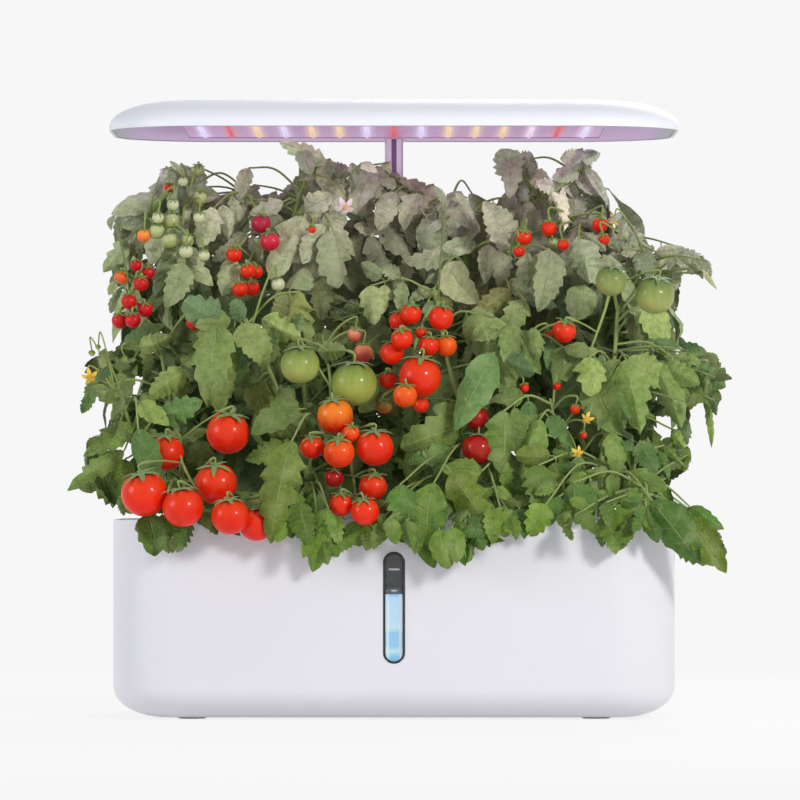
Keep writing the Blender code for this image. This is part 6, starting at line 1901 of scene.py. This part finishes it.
def fruit_pieces(canopy, skin, stalk):
    """Each truss with its stalk, and its fruit with calyx and knuckled stalks."""
    rng = random.Random(fruit_seed)
    green = np.array(linear(*truss_levels))
    for (name, lofts, fruit), (_, _, _, picks) in zip(canopy.trusses, truss_picks):
        shape = Shape()
        centres = [np.array(section[0]) for section in lofts[0]]
        path = smooth_path(centres, branch_steps)
        add_tube(shape, path, np.linspace(rachis_radius, rachis_radius * 0.7, len(path)), branch_sides, 1,
                 green)
        for (centre, radius), pick, pedicel in zip(fruit, picks, lofts[1:]):
            centre = np.array(centre)
            tones = fruit_tones.get(tuple(pick[:2]), truss_tones.get(name, ripe_red))
            dim = 0.92 + 0.16 * rng.random()
            mark = np.array(pedicel[0][0])
            crown = crown_direction(rng)
            top = centre + crown * radius * (1 - fruit_dimple_share)
            add_fruit(shape, centre, radius, crown, tones, rng, dim)
            add_calyx(shape, centre, radius, crown, rng)
            above = top + crown * radius * 0.45
            run = smooth_path([mark, (mark + above) / 2 + (0, 0, radius * 0.12), above, top],
                              branch_steps)
            knuckle = [math.exp(-((share - knuckle_share) / knuckle_width) ** 2)
                       for share in np.linspace(0, 1, len(run))]
            thick = [pedicel_radius * (0.80 + 0.75 * swell) for swell in knuckle]
            add_tube(shape, run, thick, pedicel_sides, 1, green * (0.9 + 0.2 * rng.random()))
        shape.piece(f"{name}_fruit", "base", "tomato_skin", (skin, stalk), (name,))


def small_pieces(foliage, skin, stalk, petal):
    """Small fruit, buds and flowers, each on a stalk of its own."""
    rng = random.Random(small_fruit_seed)
    shape, flowers = Shape(), Shape()
    green = np.array(linear(*truss_levels))

    def stem_to(shape, point, direction, thick):
        """A stalk from the nearest knot of the stems to a point, which it meets along a direction."""
        knot = foliage.knots[np.argmin(np.linalg.norm(foliage.knots - point, axis=1))]
        lead = point + direction * min(0.010, np.linalg.norm(knot - point) / 3)
        run = smooth_path([knot, (knot + lead) / 2 + (0, 0, 0.004), lead, point], small_stalk_steps)
        add_tube(shape, run, np.linspace(thick * 1.4, thick, len(run)), small_stalk_sides, 1, green)

    berries = [(pick, 1.0, 1 - fruit_dimple_share, 0.8) for pick in small_fruit_picks]
    berries += [((*pick, bud_tones), bud_calyx_reach, bud_top_share, 0.6) for pick in bud_picks]
    for (column, row, columns, depth, tones), reach, top_share, thick_share in berries:
        centre = np.array(from_picture(column, row, depth))
        radius = picture_length(columns)
        crown = crown_direction(rng)
        add_fruit(shape, centre, radius, crown, tones, rng)
        add_calyx(shape, centre, radius, crown, rng, reach)
        stem_to(shape, centre + crown * radius * top_share, crown, pedicel_radius * thick_share)
    for column, row, columns, depth, tone in flower_picks:
        centre = np.array(from_picture(column, row, depth))
        radius = picture_length(columns)
        facing = unit(np.array((rng.uniform(-0.5, 0.5), -1.0, rng.uniform(-0.5, 0.1))))
        add_flower(flowers, centre, radius, facing, tone, rng)
        stem_to(flowers, centre - facing * radius * 0.45, -facing + np.array((0, 0, 0.6)),
                pedicel_radius * 0.7)
    shape.piece("small_fruit", "base", "tomato_skin", (skin, stalk))
    flowers.piece("flowers", "base", "tomato_leaf", (petal, stalk))


def mesh_of(bm, name="shape"):
    mesh = bpy.data.meshes.new(name)
    bm.to_mesh(mesh)
    bm.free()
    return mesh


def carved(base, steps):
    """The mesh of a base shape after the steps take shapes from it or add them to it."""
    item = add_object("shape", mesh_of(base))
    for operation, bm in steps:
        other = add_object("shape", mesh_of(bm))
        change = item.modifiers.new(operation, "BOOLEAN")
        change.object, change.operation, change.solver = other, operation, "EXACT"
        depsgraph = bpy.context.evaluated_depsgraph_get()
        mesh = bpy.data.meshes.new_from_object(item.evaluated_get(depsgraph))
        item.modifiers.clear()
        item.data = mesh
        bpy.data.objects.remove(other)
    mesh = item.data
    bpy.data.objects.remove(item)
    return mesh


def fine_piece(name, mesh, finish, body, slot, *nodes):
    """A piece with one finish all over."""
    mesh.materials.clear()
    mesh.materials.append(finish)
    mesh.polygons.foreach_set("material_index", [0] * len(mesh.polygons))
    set_piece(name, mesh, body, nodes)


def stadium(width, height, front, back):
    """An upright slab with round ends, at the height of the level window."""
    block = block_mesh((width, height, back - front), width / 2 - round_end_rest,
                       corner_steps=fine_corner_steps)
    return moved(turned_to_y(block), (0, (front + back) / 2, window_middle_height))


def fine_tank(finish):
    """The hollow tank with its seats for the deck, the window and the inlet."""
    size = (base_width, base_depth, tank_height)
    shell = moved(block_mesh(size, base_corner, edge_run, edge_rise, corner_steps=fine_corner_steps,
                             edge_steps=fine_edge_steps), (0, 0, (foot_height + rim_height) / 2))
    inner = (base_width - 2 * tank_wall, base_depth - 2 * tank_wall, rim_height - floor_top + overrun)
    hollow = moved(block_mesh(inner, base_corner - tank_wall, edge_run - tank_wall,
                              edge_rise - tank_floor, corner_steps=fine_corner_steps),
                   (0, 0, floor_top + inner[2] / 2))
    seat_z = deck_under - seat_gap
    seat = (base_width - 2 * deck_ledge, base_depth - 2 * deck_ledge, rim_height + overrun - seat_z)
    seat = moved(block_mesh(seat, base_corner - deck_ledge, corner_steps=fine_corner_steps),
                 (0, 0, seat_z + seat[2] / 2))
    slot = stadium(window_width + 2 * seat_gap, window_height + 2 * seat_gap, front_y - overrun,
                   front_y + tank_wall + overrun)
    inlet = turned_to_y(cylinder_mesh(inlet_radius + seat_gap, tank_wall + 2 * overrun, fine_sides))
    inlet = moved(inlet, (inlet_x, rear_y - tank_wall / 2, inlet_z))
    mesh = carved(shell, [("DIFFERENCE", shape) for shape in (hollow, seat, slot, inlet)])
    fine_piece("tank_fine", mesh, finish, "base", "shell_white", "tank")


def pole_passage(low, high):
    """The room that the inner pole takes up in a piece, between two heights."""
    return span_block((-pole_width / 2 - seat_gap, pole_y - pole_depth / 2 - seat_gap, low),
                      (pole_width / 2 + seat_gap, pole_y + pole_depth / 2 + seat_gap, high))


def fine_lamp(shell_finish, reflector, board_finish, diode_finish):
    """The hood with its pocket for the pole, the reflector plate and the lit board."""
    middle = lamp_under + lamp_thickness / 2
    shell = moved(block_mesh((lamp_width, lamp_depth, lamp_thickness), lamp_corner, lamp_edge_run,
                             lamp_edge_rise, low=False, corner_steps=fine_corner_steps,
                             edge_steps=fine_edge_steps), (0, 0, middle))
    inner_width = lamp_width - 2 * lamp_wall
    inner_depth = lamp_depth - 2 * lamp_wall
    roof = lamp_top - lamp_wall
    hollow_height = roof - lamp_under + overrun
    hollow = moved(block_mesh((inner_width, inner_depth, hollow_height), lamp_corner - lamp_wall,
                              lamp_edge_run - lamp_wall, lamp_edge_rise - lamp_wall, low=False,
                              corner_steps=fine_corner_steps), (0, 0, roof - hollow_height / 2))
    plate_low = lamp_under + plate_lift
    plate_top = plate_low + plate_thickness
    pocket_half_width = pole_width / 2 + seat_gap + pole_pocket_wall
    pocket_half_depth = pole_depth / 2 + seat_gap + pole_pocket_wall
    pocket = span_block((-pocket_half_width, pole_y - pocket_half_depth, plate_top + seat_gap),
                        (pocket_half_width, pole_y + pocket_half_depth, pocket_top + lamp_wall))
    mesh = carved(shell, [("DIFFERENCE", hollow), ("UNION", pocket),
                          ("DIFFERENCE", pole_passage(lamp_under, pocket_top))])
    fine_piece("lamp_hood", mesh, shell_finish, "lamp", "shell_white", "lamp_shell")
    plate = moved(block_mesh((inner_width - 2 * seat_gap, inner_depth - 2 * seat_gap, plate_thickness),
                             lamp_corner - lamp_wall - seat_gap, corner_steps=fine_corner_steps),
                  (0, 0, (plate_low + plate_top) / 2))
    half_width = (led_columns - 1) / 2 * led_pitch + led_margin
    opening = span_block((-half_width - seat_gap, led_front_y - seat_gap, plate_low - overrun),
                         (half_width + seat_gap, led_back_y + seat_gap, plate_top + overrun))
    passage = pole_passage(plate_low - overrun, plate_top + overrun)
    mesh = carved(plate, [("DIFFERENCE", opening), ("DIFFERENCE", passage)])
    fine_piece("reflector_plate", mesh, reflector, "lamp", "lamp_reflector", "lamp_plate")
    lit_board(board_finish, diode_finish, plate_top, half_width)


def slab_faces(wide, rows):
    """Faces of a closed slab whose lower and upper sheets have wide by rows points each."""
    sheet = wide * rows
    faces = []
    for row in range(rows - 1):
        for column in range(wide - 1):
            a = row * wide + column
            faces.append((a, a + wide, a + wide + 1, a + 1))
            faces.append((sheet + a, sheet + a + 1, sheet + a + wide + 1, sheet + a + wide))
    edge = ([column for column in range(wide - 1)] + [row * wide + wide - 1 for row in range(rows - 1)]
            + [(rows - 1) * wide + column for column in range(wide - 1, 0, -1)]
            + [row * wide for row in range(rows - 1, 0, -1)])
    for first, second in zip(edge, edge[1:] + edge[:1]):
        faces.append((first, second, second + sheet, first + sheet))
    return faces


def lit_board(board_finish, diode_finish, top, half_width):
    """The board with its rows of lit diodes. Each column's glow tints the board round it."""
    under = top - led_board_thickness
    shape = Shape()
    board_tone = np.array(linear(*board_levels))
    tones = np.array([linear(*diode_levels[name]) for name in diode_order])
    xs = np.linspace(-half_width, half_width, (led_columns + 1) * board_steps_between + 1)
    ys = np.linspace(led_front_y, led_back_y, diode_rows * 2 + 1)
    places = [(column - (led_columns - 1) / 2) * led_pitch for column in range(led_columns)]
    reach = np.exp(-((xs[:, None] - np.array(places)[None, :]) / glow_reach) ** 2)
    glow = board_tone * (1 - np.minimum(reach.sum(axis=1), 1))[:, None] + reach @ tones
    points, colors = [], []
    for height in (under, top):
        for y in ys:
            points += [(x, y, height) for x in xs]
            colors += list(glow)
    shape.add(points, slab_faces(len(xs), len(ys)), 0, colors)
    chip = diode_size / 2
    start_y, end_y = led_front_y + led_margin, led_back_y - led_margin
    low = under - diode_height
    profile = [(low - dome_radius * height, max(dome_radius * width, smallest_ring))
               for height, width in dome_profile]
    for place, tone in zip(places, tones):
        for row in range(diode_rows):
            y = start_y + (end_y - start_y) * row / (diode_rows - 1)
            corners = [(place + x * chip, y + side * chip, z) for z in (low, under + seat_gap)
                       for x, side in chip_corners]
            shape.add(corners, tube_faces(2, 4, pointed=False), 1, tone * chip_dim)
            add_round(shape, (place, y), profile, dome_sides, 1, tone)
    shape.piece("lit_board", "lamp", "led_light", (board_finish, diode_finish), ("led_board",))


def fine_baskets(finish):
    """A turned shell for each basket, open below, with a rounded rim."""
    rim_low = deck_top + seat_gap
    top = rim_low + basket_flange_height
    low = top - basket_depth
    outside = basket_radius - basket_taper
    shoulder = (rim_low + top) / 2
    edge = basket_radius + basket_flange
    inner_low = low + basket_wall
    inside_low = outside - basket_wall
    inside_top = basket_radius - basket_wall
    profile = ((inner_low, basket_floor_hole), (low, basket_floor_hole), (low, outside - small_bevel),
               (low + small_bevel, outside), (rim_low, basket_radius), (rim_low, edge - small_bevel / 2),
               (shoulder, edge), (top - small_bevel / 2, edge - small_bevel / 4),
               (top, edge - small_bevel), (top, inside_top + small_bevel / 2),
               (top - small_bevel / 2, inside_top), (inner_low, inside_low))
    for number, spot in enumerate(basket_spots(), 1):
        angles = np.arange(fine_sides) * 2 * math.pi / fine_sides
        points = [(spot[0] + radius * math.cos(angle), spot[1] + radius * math.sin(angle), height)
                  for height, radius in profile for angle in angles]
        rings = len(profile)
        faces = [(ring * fine_sides + step, ring * fine_sides + (step + 1) % fine_sides,
                  (ring + 1) % rings * fine_sides + (step + 1) % fine_sides,
                  (ring + 1) % rings * fine_sides + step)
                 for ring in range(rings) for step in range(fine_sides)]
        mesh = bpy.data.meshes.new(f"basket_{number}_fine")
        mesh.from_pydata(points, [], faces)
        fine_piece(f"basket_{number}_fine", mesh, finish, "base", "deck_white", f"grow_basket_{number}")


def fine_window(trim, lens):
    """The rounded bezel ring and the lens pane in it."""
    bezel_front = front_y - bezel_proud
    wall_back = front_y + tank_wall
    block = block_mesh((window_width, window_height, wall_back - bezel_front),
                       window_width / 2 - round_end_rest, bezel_round, bezel_round, low=False,
                       corner_steps=fine_corner_steps)
    turned = moved(turned_to_y(block), (0, (bezel_front + wall_back) / 2, window_middle_height))
    mesh = carved(turned, [("DIFFERENCE", stadium(glass_width, glass_height, bezel_front - overrun,
                                                  wall_back + overrun))])
    fine_piece("bezel_ring", mesh, trim, "base", "black_trim", "window_bezel")
    lens_front = bezel_front + lens_recess
    mesh = carved(stadium(glass_width - 2 * seat_gap, glass_height - 2 * seat_gap, lens_front,
                          lens_front + lens_thickness), [])
    fine_piece("lens_pane", mesh, lens, "base", "clear_window", "window_lens")


def fine_water(finish):
    """The window's water with its hollowed top."""
    low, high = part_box("window_water")
    width, depth, height = (top - base for base, top in zip(low, high))
    shares = np.linspace(0, 1, water_steps + 1)
    points = []
    for top in (False, True):
        for back in shares:
            for side in shares:
                reach = max(abs(2 * side - 1), abs(2 * back - 1))
                z = high[2] - meniscus_rise * (1 - reach ** meniscus_power) if top else low[2]
                points.append((low[0] + width * side, low[1] + depth * back, z))
    shape = Shape()
    shape.add(points, slab_faces(len(shares), len(shares)), 0, (1, 1, 1))
    column = shape.piece("water_column", "base", "water", (finish,), ("window_water",))
    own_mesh(column)


def fine_feet(rubber):
    """Round pads with a small bevel at the floor."""
    spots = [(x * base_width, y * base_depth) for y in (-foot_y_share, foot_y_share)
             for x in (-foot_x_share, foot_x_share)]
    top = foot_height - seat_gap
    for number, spot in enumerate(spots, 1):
        shape = Shape()
        add_round(shape, spot, ((0, foot_radius - foot_bevel), (foot_bevel / 3, foot_radius - foot_bevel / 3),
                                (foot_bevel, foot_radius), (top, foot_radius)), fine_sides, 0, (1, 1, 1))
        shape.piece(f"foot_{number}_pad", "base", "foot_rubber", (rubber,), (f"foot_{number}",))


def dress_nodes(finishes):
    """Gives each node that still shows its slot's finish and soft edges."""
    for row in frame["record"]["subparts"]:
        item = frame["nodes"][row["node"]]
        finish = finishes.get(row["material_slot"])
        if finish is None:
            continue
        item.data.materials.clear()
        item.data.materials.append(finish)
        if row["node"] in bevelled_nodes:
            bevel = item.modifiers.new("soft_edges", "BEVEL")
            bevel.width, bevel.segments = slender_bevel, bevel_steps
            bevel.limit_method, bevel.angle_limit = "ANGLE", smooth_angle
            bevel.harden_normals = True


def level_marks(finish):
    """Two plain printed bars on the lens, at full and at the float."""
    front = front_y - bezel_proud + lens_recess
    for number, (height, width, thick) in enumerate(mark_places, 1):
        block = block_mesh((width, thick, mark_thickness), thick / 2 - round_end_rest,
                           corner_steps=fine_edge_steps)
        bar = moved(turned_to_y(block), (0, front - mark_thickness / 2 - seat_gap / 2, height))
        fine_piece(f"level_mark_{number}", carved(bar, []), finish, "base", "clear_window")


def add_camera():
    camera = bpy.data.cameras.new("camera")
    camera.sensor_width = sensor_width * 1000
    camera.lens = camera.sensor_width * eye_distance / picture_width_at_object
    camera.shift_x, camera.shift_y = camera_shift
    camera.clip_end = camera_reach
    item = add_object("camera", camera)
    item.location = (0.0, face_y_share * base_depth - eye_distance, camera_height)
    item.rotation_euler = (math.pi / 2, 0.0, 0.0)
    bpy.context.scene.camera = item


def add_lights():
    for name, place, size, watts, color in light_places:
        light = bpy.data.lights.new(name, "AREA")
        light.shape, light.size = "DISK", size
        light.energy, light.color = watts, color
        item = add_object(name, light)
        item.location = place
        aim = Vector(light_target) - Vector(place)
        item.rotation_euler = aim.to_track_quat("-Z", "Y").to_euler()


def sees_background(tree):
    """1 for rays that meet the background from the camera, in gloss or through glass."""
    path = tree.nodes.new("ShaderNodeLightPath")
    value = path.outputs["Is Camera Ray"]
    for other in ("Is Glossy Ray", "Is Transmission Ray"):
        top = tree.nodes.new("ShaderNodeMath")
        top.operation = "MAXIMUM"
        tree.links.new(value, top.inputs[0])
        tree.links.new(path.outputs[other], top.inputs[1])
        value = top.outputs[0]
    return value


def add_world():
    world = bpy.data.worlds.new("studio")
    world.use_nodes = True
    tree = world.node_tree
    tree.nodes.clear()
    lit, seen = tree.nodes.new("ShaderNodeBackground"), tree.nodes.new("ShaderNodeBackground")
    lit.inputs["Strength"].default_value = world_strength
    seen.inputs["Color"].default_value = (background_grey, background_grey, background_grey, 1.0)
    mix, output = tree.nodes.new("ShaderNodeMixShader"), tree.nodes.new("ShaderNodeOutputWorld")
    tree.links.new(sees_background(tree), mix.inputs[0])
    tree.links.new(lit.outputs[0], mix.inputs[1])
    tree.links.new(seen.outputs[0], mix.inputs[2])
    tree.links.new(mix.outputs[0], output.inputs["Surface"])
    bpy.context.scene.world = world


def add_floor():
    bm = bmesh.new()
    bmesh.ops.create_circle(bm, cap_ends=True, radius=floor_radius, segments=floor_steps)
    mesh = mesh_of(bm, "floor")
    finish = Finish("floor_white", Roughness=0.9)
    tree = finish.tree
    grain = finish.noise(220.0, 2.0)
    finish.link(finish.mix(grain, (floor_albedo,) * 3, (floor_albedo * 0.985,) * 3), "Base Color")
    distance = finish.add("ShaderNodeVectorMath", {0: finish.place()},
                          operation="LENGTH").outputs["Value"]
    far = finish.ramp(finish.sum("DIVIDE", distance, floor_radius), (0.30, 0.0), (0.75, 1.0))
    lift = finish.sum("MULTIPLY", finish.sum("SUBTRACT", 1.0, far), floor_glow_lift)
    glow = finish.add("ShaderNodeEmission", {"Color": (background_grey,) * 3 + (1.0,),
                                             "Strength": finish.sum("ADD", 1.0, lift)})
    share = finish.sum("MULTIPLY", far, 1 - floor_glow_share)
    share = finish.sum("MULTIPLY", finish.sum("ADD", share, floor_glow_share), sees_background(tree))
    mix = finish.add("ShaderNodeMixShader", {0: share, 1: finish.shader.outputs[0], 2: glow.outputs[0]})
    tree.links.new(mix.outputs[0], tree.nodes["Material Output"].inputs["Surface"])
    mesh.materials.append(finish.material)
    add_object("floor", mesh)


def board_green_finish():
    finish = Finish("circuit_board", Roughness=0.4)
    tracks = finish.noise(260.0, 2.0)
    finish.link(finish.ramp(tracks, (0.45, linear(16, 84, 48)), (0.52, linear(38, 120, 70))), "Base Color")
    finish.bump(tracks, 0.00004)
    return finish.material


bpy.context.scene.view_settings.view_transform = "Standard"
add_camera()
add_lights()
add_world()
add_floor()

finishes = {name: moulded(name, linear(*levels), roughness, grain, depth, Coat_Weight=coat)
            for name, (levels, roughness, grain, depth, coat) in moulded_finishes.items()}
steel = metal("pin_steel", linear(190, 190, 194), 0.3, (900.0, 900.0, 40.0))
finishes |= {"water": water_finish(), "pole_metal": pole_metal_finish(), "pin_steel": steel.material,
             "circuit_board": board_green_finish(), "clear_window": lens_finish(),
             "lamp_reflector": plate_finish(), "tomato_stem": stalk_finish(),
             "tomato_skin": skin_finish(), "tomato_leaf": leaf_finish("leaf_top")}
leaf_under = leaf_finish("leaf_under", under=True)
stalk, skin = finishes["tomato_stem"], finishes["tomato_skin"]

fine_tank(finishes["shell_white"])
fine_lamp(finishes["hood_white_lit"], finishes["lamp_reflector"], glow_finish("lit_board", 0.62, 0.5),
          glow_finish("lit_diode", 0.58, 0.3))
fine_baskets(finishes["deck_white"])
fine_window(finishes["black_trim"], finishes["clear_window"])
fine_water(finishes["water"])
fine_feet(finishes["foot_rubber"])
dress_nodes(finishes)
frame["nodes"]["level_float"].data.materials[0] = finishes["float_grey"]
level_marks(finishes["mark_print"])

canopy = grow_canopy()
foliage = Foliage(canopy)
foliage.add_stems()
foliage.add_plugs()
foliage.add_solid_leaves()
foliage.fill_outline()
foliage.close_sides()
leaf_finishes = (finishes["tomato_leaf"], leaf_under, stalk, plug_finish())
for number, shape in enumerate(foliage.shapes, 1):
    shape.piece(f"foliage_{number}", "base", "tomato_leaf", leaf_finishes, (f"tomato_plant_{number}",))
fruit_pieces(canopy, skin, stalk)
small_pieces(foliage, skin, stalk, petal_finish())
